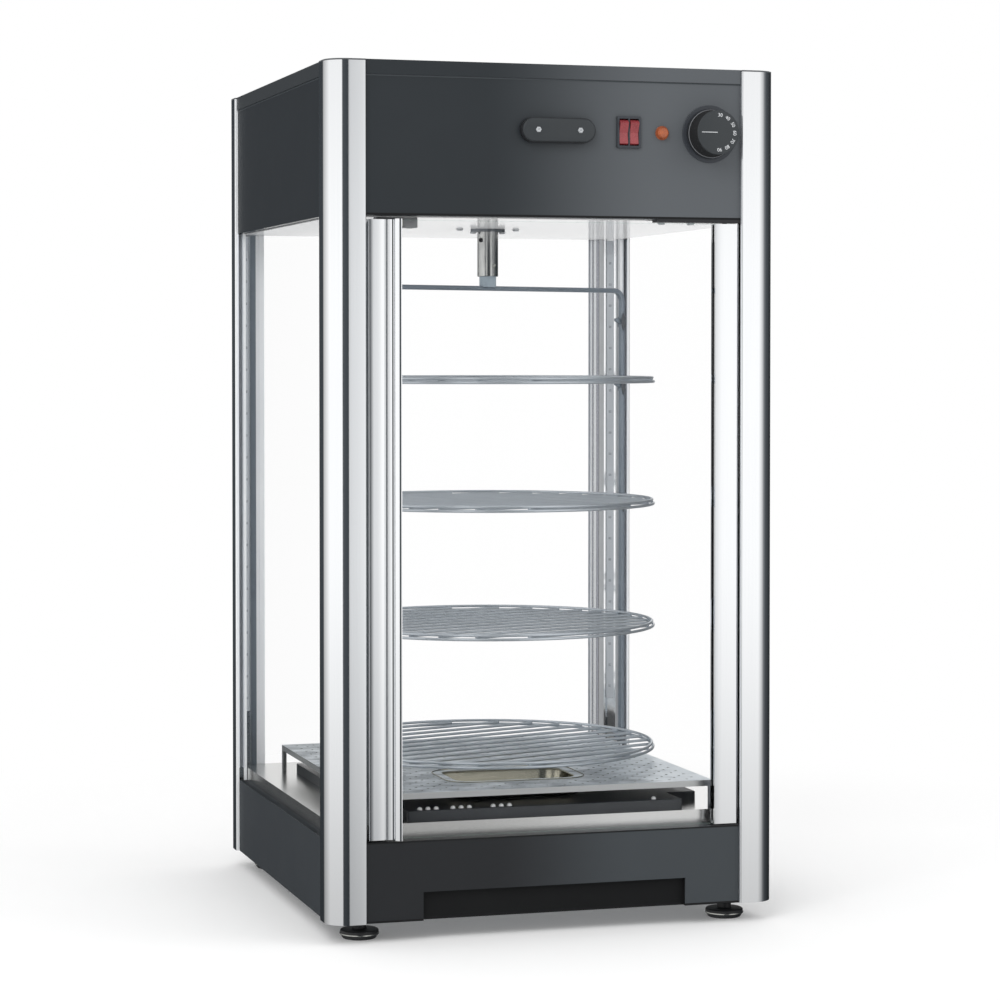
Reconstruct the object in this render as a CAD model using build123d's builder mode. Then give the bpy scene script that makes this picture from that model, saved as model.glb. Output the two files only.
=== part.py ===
from build123d import *
from math import cos, radians, sin, sqrt
import os

os.makedirs("parts", exist_ok=True)

# Overall sizes of the case, in millimetres, and its main levels above the floor.
case_width = 462.0
case_depth = 486.0
foot_height = 20.0
post_length = 835.0
base_height = 78.5
header_height = 149.5
deck_rise = 14.0
bench_rise = 29.0

z_post = foot_height
z_base_top = z_post + base_height
z_top = z_post + post_length
z_header = z_top - header_height
z_deck = z_base_top + deck_rise
z_bench = z_deck + bench_rise

# Fits and clearances.
seat_gap = 0.3
running_fit = 0.05
hole_clearance = 0.2
free_gap = 0.5

# Corner post extrusion: two legs, a rounded outer corner and a diagonal lamp channel.
leg_width = 38.0
leg_depth = 12.0
corner_radius = 21.0
leg_end_radius = 1.2
post_wall = 2.0
glass_thickness = 4.0
glass_play = 0.5
slot_end_gap = 1.0
slot_width = glass_thickness + 2 * glass_play
slot_depth = 10.0
slot_centre = leg_depth / 2
lamp_face_width = 15.0
lamp_channel_width = 10.6
lamp_channel_depth = 2.5
cap_thickness = 1.5

# Painted sheet panels, held in the slots of the posts.
sheet = 1.5
panel_recess = slot_centre - slot_width / 2 + hole_clearance
slot_reach = slot_depth - slot_end_gap
flange_depth = 28.0
cover_lip = 14.0
notch_width = 271.0
notch_height = 28.0
notch_depth = 6.0

# Stainless floor deck, ceiling and perforated bench.
deck_sheet = 1.2
deck_inset = 12.5
deck_front_inset = 25.0
ceiling_front_inset = 21.0
bench_width = 361.0
bench_offset = -7.0
bench_front_inset = 27.0
bench_depth = 383.0
bench_band = 6.0
bench_leg = 5.0

# Water pan let into the bench.
pan_length = 126.0
pan_breadth = 76.0
pan_bowl = 18.0
pan_rim = 10.0
pan_sheet = 1.0
pan_corner = 15.0
pan_draft = 8.0
pan_centre_inset = 125.0
pan_offset = -13.5

# Heater under the bench.
baffle_width = 349.0
baffle_nose_width = 287.0
baffle_front_inset = 34.0
baffle_step_inset = 80.0
baffle_rear_inset = 395.0
baffle_height = 10.0
element_radius = 4.0
element_spacing = 80.0
element_count = 3
element_front_inset = 110.0
element_rear_inset = 370.0

# Door: a glass pane between two aluminium stiles, hung at the right.
door_face = 4.0
stile_depth = 12.0
stile_width = 24.0
stile_radius = 3.0
door_side_gap = 3.0
hinge_side_gap = 2.5
stile_slot_depth = 6.0
stile_groove = 2.0
stile_groove_inset = 17.0
pivot_block_size = 8.0
pivot_block_length = 25.0
pivot_radius = 2.5
pivot_length = 14.0
upper_plate_thickness = 3.0
upper_plate_length = 87.0
hinge_screw_insets = (8.0, 39.0)
screw_edge_land = 1.0
lower_plate_thickness = 1.0
lower_plate_length = 28.0
door_end_gap = 1.0
handle_radius = 4.0
handle_stand_off = 2.0
handle_overhang = 0.6
catch_length = 41.0
catch_depth = 17.0
catch_height = 10.0

# Revolving rack and its drive.
rack_rest_angle = 19.0
shelf_radius = 177.5
shelf_rim_width = 3.5
shelf_rim_height = 7.0
shelf_bar = 3.0
shelf_bar_pitch = 27.0
shelf_count = 4
lowest_shelf_rise = 138.0
shelf_pitch = 129.0
hanger_drop = 10.0
hanger_width = 6.0
hanger_thickness = 5.0
hanger_bend = 14.0
hook_reach = 7.0
hook_height = 7.0
hook_thickness = 3.0
spare_hook_rise = 70.0
tube_radius = 11.0
tube_wall = 2.0
tube_drop = 51.5
tube_crown = 8.0
spindle_radius = 5.0
spindle_length = 28.0
neck_play = 0.1
cross_pin_radius = 2.0
cross_pin_rise = 11.0
neck_top_gap = 3.0
cross_pin_overhang = 1.5
bearing_radius = 22.0
bearing_flange = 3.0
bearing_boss_radius = 13.0
bearing_boss_rise = 2.0
gearbox_length = 84.0
gearbox_breadth = 56.0
gearbox_height = 46.0
gearbox_corner = 3.0
gearbox_recess = 12.0
motor_radius = 28.0
motor_height = 48.0
motor_screw_span = 62.0
bearing_screw_span = 32.0

# Small screws shared by the hinge plate, the bearing, the gearbox and the blank plate.
screw_head_radius = 2.8
screw_head_height = 2.0
screw_shank_radius = 1.5
screw_shank_length = bearing_flange + deck_sheet

# Controls on the front of the header, all on one line.
control_drop = 64.5
plate_inset = 231.0
plate_length = 76.0
plate_breadth = 24.5
plate_stand = 10.0
plate_edge = 2.0
plate_screw_span = 43.0
switch_inset = 156.5
bezel_width = 25.0
bezel_height = 31.3
bezel_stand = 2.2
bezel_border = 2.4
bezel_divider = 1.6
housing_depth = 26.0
housing_wall = 1.2
rocker_play = 0.33
rocker_pivot_depth = 6.5
rocker_tip_stand = 8.0
rocker_valley_stand = 5.5
rocker_heel_depth = 3.0
rocker_tilt = 8.0
rocker_pin_radius = 1.2
rocker_pin_bite = 0.6
lamp_inset = 121.5
lamp_radius = 7.0
lamp_dome = 5.0
lamp_edge = 2.5
lamp_barrel_radius = 5.0
lamp_barrel_length = 22.0
knob_inset = 71.5
scale_radius = 28.5
scale_thickness = 2.0
knob_radius = 22.0
knob_skirt_radius = 24.0
knob_skirt = 4.0
knob_height = 24.0
knob_edge = 2.5
thermostat_size = 44.0
thermostat_depth = 28.0
thermostat_spindle_radius = 3.0
thermostat_spindle_reach = 16.0

# Power parts in the header and the cable entry in its rear panel.
supply_length = 120.0
supply_breadth = 50.0
supply_height = 30.0
terminal_length = 62.0
terminal_breadth = 22.0
terminal_height = 18.0
power_spacing = 28.0
power_edge = 3.0
gland_offset = 120.0
gland_rise = 45.0
gland_body_radius = 10.0
gland_hex_radius = 13.0
gland_hex_length = 8.0
gland_outer_length = 24.0
gland_inner_length = 12.0
gland_nut_length = 5.0
gland_bore_radius = 4.5
lamp_strip_width = 10.0
lamp_strip_thickness = 1.6
lamp_strip_low = 60.0
lamp_strip_high = 14.0

# Levelling feet and their threaded bushes.
foot_inset = 40.0
foot_radius = 19.5
foot_pad_height = 9.0
foot_edge_height = 4.5
foot_base_radius = 16.5
foot_hub_radius = 7.0
foot_hub_height = 14.0
stem_radius = 4.0
stem_length = 26.0
bush_radius = 8.0
bush_height = 10.0

# The knob stands out in front and the gland behind, and the middle of the whole is at Y = 0.
knob_reach = scale_thickness + seat_gap + knob_height - panel_recess
gland_reach = gland_outer_length - panel_recess
y_front = (knob_reach - gland_reach - case_depth) / 2
y_rear = y_front + case_depth
y_mid = (y_front + y_rear) / 2
x_left = -case_width / 2
x_right = case_width / 2
z_control = z_top - control_drop
x_plate = x_right - plate_inset
x_switch = x_right - switch_inset
x_lamp = x_right - lamp_inset
x_knob = x_right - knob_inset

corners = {
    "front_left": Plane(origin=(x_left, y_front, 0), x_dir=(1, 0, 0), z_dir=(0, 0, 1)),
    "front_right": Plane(origin=(x_right, y_front, 0), x_dir=(0, 1, 0), z_dir=(0, 0, 1)),
    "rear_right": Plane(origin=(x_right, y_rear, 0), x_dir=(-1, 0, 0), z_dir=(0, 0, 1)),
    "rear_left": Plane(origin=(x_left, y_rear, 0), x_dir=(0, -1, 0), z_dir=(0, 0, 1)),
}
sides = {
    "front": Plane(origin=(0, y_front, 0), x_dir=(1, 0, 0), z_dir=(0, -1, 0)),
    "right": Plane(origin=(x_right, y_mid, 0), x_dir=(0, 1, 0), z_dir=(1, 0, 0)),
    "rear": Plane(origin=(0, y_rear, 0), x_dir=(-1, 0, 0), z_dir=(0, 1, 0)),
    "left": Plane(origin=(x_left, y_mid, 0), x_dir=(0, -1, 0), z_dir=(-1, 0, 0)),
}
clear_span = {
    "front": case_width - 2 * leg_width,
    "right": case_depth - 2 * leg_width,
    "rear": case_width - 2 * leg_width,
    "left": case_depth - 2 * leg_width,
}

# Section of a post, drawn with its outer corner at the origin and its legs along X and Y.
lamp_face_run = lamp_face_width / sqrt(2)
lamp_face_end = leg_depth + lamp_face_run
lamp_face_middle = leg_depth + lamp_face_run / 2
with BuildSketch() as post_outline:
    with BuildLine():
        Polyline(
            (corner_radius, 0),
            (leg_width, 0),
            (leg_width, leg_depth),
            (lamp_face_end, leg_depth),
            (leg_depth, lamp_face_end),
            (leg_depth, leg_width),
            (0, leg_width),
            (0, corner_radius),
        )
        CenterArc((corner_radius, corner_radius), corner_radius, 180, 90)
    make_face()
    fillet(post_outline.vertices().group_by(Axis.X)[-1].sort_by(Axis.Y)[0], leg_end_radius)
    fillet(post_outline.vertices().group_by(Axis.Y)[-1].sort_by(Axis.X)[0], leg_end_radius)

with BuildSketch() as post_keepout:
    add(post_outline.sketch)
    Rectangle(leg_depth, leg_depth, align=(Align.MIN, Align.MIN))
    offset(amount=free_gap, kind=Kind.INTERSECTION)

core_end = leg_width - slot_depth - post_wall
core_inner = leg_depth - post_wall
core_diagonal = leg_depth + lamp_face_end - (lamp_channel_depth + post_wall) * sqrt(2) - core_inner
with BuildSketch() as post_section:
    add(post_outline.sketch)
    with Locations((leg_width, slot_centre)):
        Rectangle(slot_depth, slot_width, align=(Align.MAX, Align.CENTER), mode=Mode.SUBTRACT)
    with Locations((slot_centre, leg_width)):
        Rectangle(slot_width, slot_depth, align=(Align.CENTER, Align.MAX), mode=Mode.SUBTRACT)
    with Locations(Location((lamp_face_middle, lamp_face_middle, 0), (0, 0, 45))):
        Rectangle(
            lamp_channel_depth,
            lamp_channel_width,
            align=(Align.MAX, Align.CENTER),
            mode=Mode.SUBTRACT,
        )
    with BuildLine():
        Polyline(
            (corner_radius, post_wall),
            (core_end, post_wall),
            (core_end, core_inner),
            (core_diagonal, core_inner),
            (core_inner, core_diagonal),
            (core_inner, core_end),
            (post_wall, core_end),
            (post_wall, corner_radius),
        )
        CenterArc((corner_radius, corner_radius), corner_radius - post_wall, 180, 90)
    make_face(mode=Mode.SUBTRACT)

# Four corner posts
for corner, plane in corners.items():
    with BuildPart() as post:
        with BuildSketch(plane.offset(z_post)):
            add(post_section.sketch)
        extrude(amount=post_length - cap_thickness)
    post.part.label = f"post_{corner}"
    export_step(post.part, f"parts/post_{corner}.step")

# Caps that close the tops of the posts
with BuildPart() as post_caps:
    with BuildSketch(*[plane.offset(z_top - cap_thickness) for plane in corners.values()]):
        add(post_outline.sketch)
    extrude(amount=cap_thickness)
post_caps.part.label = "post_caps"
export_step(post_caps.part, "parts/post_caps.step")


def flanged_panel(side, low, high):
    """A sheet between two posts, its ends in their slots, with a flange turned in at top and bottom."""
    face = sides[side].offset(-panel_recess)
    back = face.offset(-sheet)
    with BuildPart() as panel:
        with BuildSketch(face):
            with Locations((0, (low + high) / 2)):
                Rectangle(clear_span[side] + 2 * slot_reach, high - low)
        extrude(amount=-sheet)
        with BuildSketch(back):
            with Locations((0, low)):
                Rectangle(clear_span[side] - 2 * seat_gap, sheet, align=(Align.CENTER, Align.MIN))
            with Locations((0, high)):
                Rectangle(clear_span[side] - 2 * seat_gap, sheet, align=(Align.CENTER, Align.MAX))
        extrude(amount=-(flange_depth - sheet))
    return panel


def interior_plan(side_inset, front_inset, rear_inset):
    """A level outline inside the case, cut back round the four posts."""
    with BuildSketch() as plan:
        with Locations((0, y_mid + (front_inset - rear_inset) / 2)):
            Rectangle(case_width - 2 * side_inset, case_depth - front_inset - rear_inset)
        for corner_plane in corners.values():
            add(corner_plane.location * post_keepout.sketch, mode=Mode.SUBTRACT)
    return plan


# Base panels at the left, right and rear
for side in ("left", "right", "rear"):
    base_panel = flanged_panel(side, z_post, z_base_top)
    base_panel.part.label = f"base_{side}_panel"
    export_step(base_panel.part, f"parts/base_{side}_panel.step")

# Base front panel, with a wide notch in its lower edge
front_face = sides["front"].offset(-panel_recess)
front_back = front_face.offset(-sheet)
with BuildPart() as base_front_panel:
    add(flanged_panel("front", z_post, z_base_top).part)
    with BuildSketch(front_face):
        with Locations((0, z_post)):
            Rectangle(notch_width, notch_height, align=(Align.CENTER, Align.MIN))
    extrude(amount=-notch_depth, mode=Mode.SUBTRACT)
base_front_panel.part.label = "base_front_panel"
export_step(base_front_panel.part, "parts/base_front_panel.step")

# Matt pocket behind the notch, standing on the lower flange
pocket_low = z_post + sheet
pocket_high = z_post + notch_height
with BuildPart() as notch_pocket:
    with BuildSketch(front_back):
        with Locations((0, pocket_low)):
            Rectangle(
                notch_width + 2 * sheet,
                pocket_high + sheet - pocket_low,
                align=(Align.CENTER, Align.MIN),
            )
    extrude(amount=-notch_depth)
    with BuildSketch(front_back):
        with Locations((0, pocket_low)):
            Rectangle(notch_width, pocket_high - pocket_low, align=(Align.CENTER, Align.MIN))
    extrude(amount=-(notch_depth - sheet), mode=Mode.SUBTRACT)
notch_pocket.part.label = "notch_pocket"
export_step(notch_pocket.part, "parts/notch_pocket.step")

# Floor tray of the base, lying on the lower flanges
tray_inset = panel_recess + sheet + seat_gap
tray_front_inset = panel_recess + sheet + notch_depth + seat_gap
z_tray = z_post + 2 * sheet
foot_places = [
    (x, y)
    for x in (x_left + foot_inset, x_right - foot_inset)
    for y in (y_front + foot_inset, y_rear - foot_inset)
]
with BuildPart() as base_tray:
    with BuildSketch(Plane.XY.offset(z_tray - sheet)):
        add(interior_plan(tray_inset, tray_front_inset, tray_inset).sketch)
        with Locations(*foot_places):
            Circle(stem_radius + free_gap, mode=Mode.SUBTRACT)
    extrude(amount=sheet)
base_tray.part.label = "base_tray"
export_step(base_tray.part, "parts/base_tray.step")

# Threaded bushes on the tray for the feet
with BuildPart() as foot_bushes:
    with BuildSketch(Plane.XY.offset(z_tray)):
        with Locations(*foot_places):
            RegularPolygon(bush_radius, 6)
            Circle(stem_radius + running_fit, mode=Mode.SUBTRACT)
    extrude(amount=bush_height)
foot_bushes.part.label = "foot_bushes"
export_step(foot_bushes.part, "parts/foot_bushes.step")

# Levelling feet: a pad, a hub and a threaded stem
foot_names = ("front_left", "rear_left", "front_right", "rear_right")
for corner, (x, y) in zip(foot_names, foot_places):
    foot_plane = Plane(origin=(x, y, 0), x_dir=(1, 0, 0), z_dir=(0, -1, 0))
    with BuildPart() as foot:
        with BuildSketch(foot_plane):
            with BuildLine():
                Polyline(
                    (0, 0),
                    (foot_base_radius, 0),
                    (foot_radius, foot_edge_height),
                    (foot_radius, foot_pad_height),
                    (foot_hub_radius, foot_pad_height),
                    (foot_hub_radius, foot_hub_height),
                    (stem_radius, foot_hub_height),
                    (stem_radius, foot_hub_height + stem_length),
                    (0, foot_hub_height + stem_length),
                    close=True,
                )
            make_face()
        revolve(axis=Axis((x, y, 0), (0, 0, 1)))
    foot.part.label = f"foot_{corner}"
    export_step(foot.part, f"parts/foot_{corner}.step")

# Stainless floor deck with its edges turned down onto the base
deck_plan = interior_plan(deck_inset, deck_front_inset, deck_inset)
with BuildPart() as floor_deck:
    with BuildSketch(Plane.XY.offset(z_base_top)):
        add(deck_plan.sketch)
    extrude(amount=deck_rise)
    with BuildSketch(Plane.XY.offset(z_base_top)):
        add(deck_plan.sketch)
        offset(amount=-deck_sheet, kind=Kind.INTERSECTION)
    extrude(amount=deck_rise - deck_sheet, mode=Mode.SUBTRACT)
floor_deck.part.label = "floor_deck"
export_step(floor_deck.part, "parts/floor_deck.step")

# Dark cover over the heater, narrower at the front
baffle_mid = y_front + (baffle_step_inset + baffle_rear_inset) / 2
baffle_nose_mid = y_front + (baffle_front_inset + baffle_step_inset) / 2
with BuildSketch() as baffle_plan:
    with Locations((0, baffle_mid)):
        Rectangle(baffle_width, baffle_rear_inset - baffle_step_inset)
    with Locations((0, baffle_nose_mid)):
        Rectangle(baffle_nose_width, baffle_step_inset - baffle_front_inset)
with BuildPart() as heat_baffle:
    with BuildSketch(Plane.XY.offset(z_deck)):
        add(baffle_plan.sketch)
    extrude(amount=baffle_height)
    with BuildSketch(Plane.XY.offset(z_deck)):
        add(baffle_plan.sketch)
        offset(amount=-deck_sheet, kind=Kind.INTERSECTION)
    extrude(amount=baffle_height - deck_sheet, mode=Mode.SUBTRACT)
heat_baffle.part.label = "heat_baffle"
export_step(heat_baffle.part, "parts/heat_baffle.step")

# Straight sheathed heating elements under the cover
element_front = y_front + element_front_inset
element_length = element_rear_inset - element_front_inset
element_plane = Plane(origin=(0, element_front, 0), x_dir=(-1, 0, 0), z_dir=(0, 1, 0))
with BuildPart() as heating_elements:
    with BuildSketch(element_plane):
        with Locations((0, z_deck + element_radius + seat_gap)):
            with GridLocations(element_spacing, 1, element_count, 1):
                Circle(element_radius)
    extrude(amount=element_length)
heating_elements.part.label = "heating_elements"
export_step(heating_elements.part, "parts/heating_elements.step")

# Perforated bench over the heater: a flat top on a narrow band and four corner legs
bench_mid = y_front + bench_front_inset + bench_depth / 2
pan_mid = y_front + pan_centre_inset
with BuildPart() as heat_bench:
    with BuildSketch(Plane.XY.offset(z_deck)):
        with Locations((bench_offset, bench_mid)):
            Rectangle(bench_width, bench_depth)
            Rectangle(bench_width - 2 * deck_sheet, bench_depth - 2 * deck_sheet, mode=Mode.SUBTRACT)
    extrude(amount=bench_rise - deck_sheet)
    with BuildSketch(Plane.XY.offset(z_bench - deck_sheet)):
        with Locations((bench_offset, bench_mid)):
            Rectangle(bench_width, bench_depth)
        with Locations((pan_offset, pan_mid)):
            RectangleRounded(
                pan_length + 2 * free_gap,
                pan_breadth + 2 * free_gap,
                pan_corner + free_gap,
                mode=Mode.SUBTRACT,
            )
    extrude(amount=deck_sheet)
    with BuildSketch(Plane(origin=(bench_offset, bench_mid, 0), x_dir=(1, 0, 0), z_dir=(0, -1, 0))):
        with Locations((0, z_deck)):
            Rectangle(
                bench_width - 2 * bench_leg,
                bench_rise - bench_band,
                align=(Align.CENTER, Align.MIN),
            )
    extrude(amount=bench_depth, both=True, mode=Mode.SUBTRACT)
    with BuildSketch(Plane(origin=(bench_offset, bench_mid, 0), x_dir=(0, 1, 0), z_dir=(1, 0, 0))):
        with Locations((0, z_deck)):
            Rectangle(
                bench_depth - 2 * bench_leg,
                bench_rise - bench_band,
                align=(Align.CENTER, Align.MIN),
            )
    extrude(amount=bench_width, both=True, mode=Mode.SUBTRACT)
heat_bench.part.label = "heat_bench"
export_step(heat_bench.part, "parts/heat_bench.step")

# Water pan: a rounded dish hung by its rim in the bench
with BuildPart() as water_pan:
    with BuildSketch(Plane(origin=(pan_offset, pan_mid, z_bench))):
        RectangleRounded(pan_length + 2 * pan_rim, pan_breadth + 2 * pan_rim, pan_corner + pan_rim)
    extrude(amount=pan_sheet)
    with BuildSketch(Plane(origin=(pan_offset, pan_mid, z_bench))):
        RectangleRounded(pan_length, pan_breadth, pan_corner)
    extrude(amount=-pan_bowl, taper=pan_draft)
    with BuildSketch(Plane(origin=(pan_offset, pan_mid, z_bench + pan_sheet))):
        RectangleRounded(
            pan_length - 2 * pan_sheet,
            pan_breadth - 2 * pan_sheet,
            pan_corner - pan_sheet,
        )
    extrude(amount=-pan_bowl, taper=pan_draft, mode=Mode.SUBTRACT)
water_pan.part.label = "water_pan"
export_step(water_pan.part, "parts/water_pan.step")

# Side and rear panes of glass, standing on the base flanges in the slots of the posts
for side in ("left", "right", "rear"):
    with BuildPart() as pane:
        with BuildSketch(sides[side].offset(-(slot_centre - glass_thickness / 2))):
            with Locations((0, z_base_top)):
                Rectangle(
                    clear_span[side] + 2 * slot_reach,
                    z_header - seat_gap - z_base_top,
                    align=(Align.CENTER, Align.MIN),
                )
        extrude(amount=-glass_thickness)
    pane.part.label = f"glass_{side}"
    export_step(pane.part, f"parts/glass_{side}.step")

# Lamp strips in the diagonal channels of the rear posts
strip_start = z_deck + lamp_strip_low
strip_length = z_header - lamp_strip_high - strip_start
strip_planes = [corners[corner].offset(strip_start) for corner in ("rear_left", "rear_right")]
with BuildPart() as lamp_strips:
    with BuildSketch(*strip_planes):
        with Locations(Location((lamp_face_middle, lamp_face_middle, 0), (0, 0, 45))):
            with Locations((-lamp_channel_depth, 0)):
                Rectangle(
                    lamp_strip_thickness,
                    lamp_strip_width,
                    align=(Align.MIN, Align.CENTER),
                )
    extrude(amount=strip_length)
lamp_strips.part.label = "lamp_strips"
export_step(lamp_strips.part, "parts/lamp_strips.step")

# Header panels at the left and right
z_cover = z_top - sheet
for side in ("left", "right"):
    header_panel = flanged_panel(side, z_header, z_cover)
    header_panel.part.label = f"header_{side}_panel"
    export_step(header_panel.part, f"parts/header_{side}_panel.step")

# Header rear panel, with the hole for the cable gland
z_gland = z_header + gland_rise
with BuildPart() as header_rear_panel:
    add(flanged_panel("rear", z_header, z_cover).part)
    with BuildSketch(sides["rear"]):
        with Locations((gland_offset, z_gland)):
            Circle(gland_body_radius + hole_clearance)
    extrude(amount=-flange_depth, mode=Mode.SUBTRACT)
header_rear_panel.part.label = "header_rear_panel"
export_step(header_rear_panel.part, "parts/header_rear_panel.step")

# Header front panel, with the holes of the controls and of the hinge plate
door_edge_x = x_right - leg_width - hinge_side_gap
x_pivot = door_edge_x - stile_width / 2
y_pivot = y_front + door_face + stile_depth / 2
upper_plate_right = x_right - leg_width - seat_gap
upper_plate_left = upper_plate_right - upper_plate_length
upper_plate_front = y_front + panel_recess
upper_plate_depth = ceiling_front_inset - panel_recess - seat_gap
hinge_screw_y = upper_plate_front + upper_plate_depth - screw_head_radius - screw_edge_land
hinge_screw_places = [(upper_plate_left + inset, hinge_screw_y) for inset in hinge_screw_insets]
screw_hole_radius = screw_shank_radius + hole_clearance
housing_width = bezel_width - 2 * housing_wall
housing_height = bezel_height - 2 * housing_wall
plate_screw_places = [
    (x_plate - plate_screw_span / 2, z_control),
    (x_plate + plate_screw_span / 2, z_control),
]
with BuildPart() as header_front_panel:
    add(flanged_panel("front", z_header, z_cover).part)
    with BuildSketch(front_face):
        with Locations(*plate_screw_places):
            Circle(screw_hole_radius)
        with Locations((x_switch, z_control)):
            Rectangle(housing_width + 2 * hole_clearance, housing_height + 2 * hole_clearance)
        with Locations((x_lamp, z_control)):
            Circle(lamp_barrel_radius + hole_clearance)
        with Locations((x_knob, z_control)):
            Circle(thermostat_spindle_radius + free_gap)
    extrude(amount=-sheet, mode=Mode.SUBTRACT)
    with BuildSketch(Plane.XY.offset(z_header)):
        with Locations(*hinge_screw_places):
            Circle(screw_hole_radius)
    extrude(amount=sheet, mode=Mode.SUBTRACT)
header_front_panel.part.label = "header_front_panel"
export_step(header_front_panel.part, "parts/header_front_panel.step")

# Top cover, a shallow lid whose lips hang over the header panels between the posts
cover_inset = panel_recess - sheet
with BuildPart() as top_cover:
    with BuildSketch(Plane.XY.offset(z_cover)):
        add(interior_plan(cover_inset, cover_inset, cover_inset).sketch)
    extrude(amount=sheet)
    for side, plane in sides.items():
        with BuildSketch(plane.offset(-cover_inset)):
            with Locations((0, z_top)):
                Rectangle(
                    clear_span[side] - 2 * free_gap,
                    cover_lip,
                    align=(Align.CENTER, Align.MAX),
                )
        extrude(amount=-sheet)
top_cover.part.label = "top_cover"
export_step(top_cover.part, "parts/top_cover.step")

# Polished ceiling under the header
z_ceiling = z_header - deck_sheet
motor_screw_places = [(-motor_screw_span / 2, y_mid), (motor_screw_span / 2, y_mid)]
bearing_screw_places = [(-bearing_screw_span / 2, y_mid), (bearing_screw_span / 2, y_mid)]
with BuildPart() as ceiling_panel:
    with BuildSketch(Plane.XY.offset(z_ceiling)):
        add(interior_plan(deck_inset, ceiling_front_inset, deck_inset).sketch)
        with Locations((0, y_mid)):
            Circle(bearing_boss_radius + hole_clearance, mode=Mode.SUBTRACT)
        with Locations(*motor_screw_places, *bearing_screw_places):
            Circle(screw_hole_radius, mode=Mode.SUBTRACT)
    extrude(amount=deck_sheet)
ceiling_panel.part.label = "ceiling_panel"
export_step(ceiling_panel.part, "parts/ceiling_panel.step")

# Gear motor on the ceiling: a gearbox with the motor upright on it
gearbox_recess_radius = bearing_boss_radius + free_gap
spindle_hole_depth = bearing_boss_rise + tube_crown + spindle_length + free_gap
with BuildPart() as gear_motor:
    with BuildSketch(Plane.XY.offset(z_header)):
        with Locations((0, y_mid)):
            RectangleRounded(gearbox_length, gearbox_breadth, gearbox_corner)
    extrude(amount=gearbox_height)
    with BuildSketch(Plane.XY.offset(z_header + gearbox_height)):
        with Locations((0, y_mid)):
            Circle(motor_radius)
    extrude(amount=motor_height)
    with BuildSketch(Plane.XY.offset(z_header)):
        with Locations((0, y_mid)):
            Circle(gearbox_recess_radius)
    extrude(amount=gearbox_recess, mode=Mode.SUBTRACT)
    with BuildSketch(Plane.XY.offset(z_header)):
        with Locations((0, y_mid)):
            Circle(spindle_radius + running_fit)
    extrude(amount=spindle_hole_depth, mode=Mode.SUBTRACT)
    with BuildSketch(Plane.XY.offset(z_header)):
        with Locations(*motor_screw_places):
            Circle(screw_hole_radius)
    extrude(amount=screw_shank_length, mode=Mode.SUBTRACT)
gear_motor.part.label = "gear_motor"
export_step(gear_motor.part, "parts/gear_motor.step")

# Flanged bearing under the ceiling that guides the rack tube
z_bearing = z_ceiling - bearing_flange
with BuildPart() as shaft_bearing:
    with BuildSketch(Plane.XY.offset(z_bearing)):
        with Locations((0, y_mid)):
            Circle(bearing_radius)
        with Locations(*bearing_screw_places):
            Circle(screw_hole_radius, mode=Mode.SUBTRACT)
    extrude(amount=bearing_flange)
    with BuildSketch(Plane.XY.offset(z_ceiling)):
        with Locations((0, y_mid)):
            Circle(bearing_boss_radius)
    extrude(amount=deck_sheet + bearing_boss_rise)
    with BuildSketch(Plane.XY.offset(z_bearing)):
        with Locations((0, y_mid)):
            Circle(tube_radius + running_fit)
    extrude(amount=gearbox_recess, mode=Mode.SUBTRACT)
shaft_bearing.part.label = "shaft_bearing"
export_step(shaft_bearing.part, "parts/shaft_bearing.step")

# Small screws: short ones in the bearing, gearbox and hinge plate, long ones in the blank plate
z_upper_plate = z_header - upper_plate_thickness
plate_face = front_face.offset(plate_stand)
short_seats = [Plane(origin=(x, y, z_bearing)) for x, y in bearing_screw_places]
short_seats += [Plane(origin=(x, y, z_ceiling)) for x, y in motor_screw_places]
short_seats += [Plane(origin=(x, y, z_upper_plate)) for x, y in hinge_screw_places]
long_seats = [
    Plane(origin=plate_face.from_local_coords((x, z)), x_dir=(1, 0, 0), z_dir=(0, 1, 0))
    for x, z in plate_screw_places
]
with BuildPart() as small_screws:
    for seats, shank in ((short_seats, screw_shank_length), (long_seats, plate_stand + sheet)):
        with BuildSketch(*seats):
            RegularPolygon(screw_head_radius, 6)
        extrude(amount=-screw_head_height)
        with BuildSketch(*seats):
            Circle(screw_shank_radius)
        extrude(amount=shank)
small_screws.part.label = "small_screws"
export_step(small_screws.part, "parts/small_screws.step")

# Drive tube of the rack, closed at the top by a crown with a spindle
z_tube_low = z_header - tube_drop
z_tube_high = z_header + bearing_boss_rise + tube_crown
z_cross_pin = z_tube_low + cross_pin_rise
rack_plane = Plane(
    origin=(0, y_mid, 0),
    x_dir=(cos(radians(rack_rest_angle)), sin(radians(rack_rest_angle)), 0),
    z_dir=(0, 0, 1),
)
rack_axis = Axis((0, y_mid, 0), (0, 0, 1))
rack_front = Plane(
    origin=(0, y_mid, 0),
    x_dir=(cos(radians(rack_rest_angle)), sin(radians(rack_rest_angle)), 0),
    z_dir=(sin(radians(rack_rest_angle)), -cos(radians(rack_rest_angle)), 0),
)
with BuildPart() as drive_tube:
    with BuildSketch(rack_plane.offset(z_tube_low)):
        Circle(tube_radius)
    extrude(amount=z_tube_high - z_tube_low)
    with BuildSketch(rack_plane.offset(z_tube_low)):
        Circle(tube_radius - tube_wall)
    extrude(amount=z_tube_high - tube_crown - z_tube_low, mode=Mode.SUBTRACT)
    with BuildSketch(rack_plane.offset(z_tube_high)):
        Circle(spindle_radius)
    extrude(amount=spindle_length)
    with BuildSketch(rack_front):
        with Locations((0, z_cross_pin)):
            Circle(cross_pin_radius + running_fit)
    extrude(amount=2 * tube_radius, both=True, mode=Mode.SUBTRACT)
drive_tube.part.label = "drive_tube"
export_step(drive_tube.part, "parts/drive_tube.step")

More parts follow.
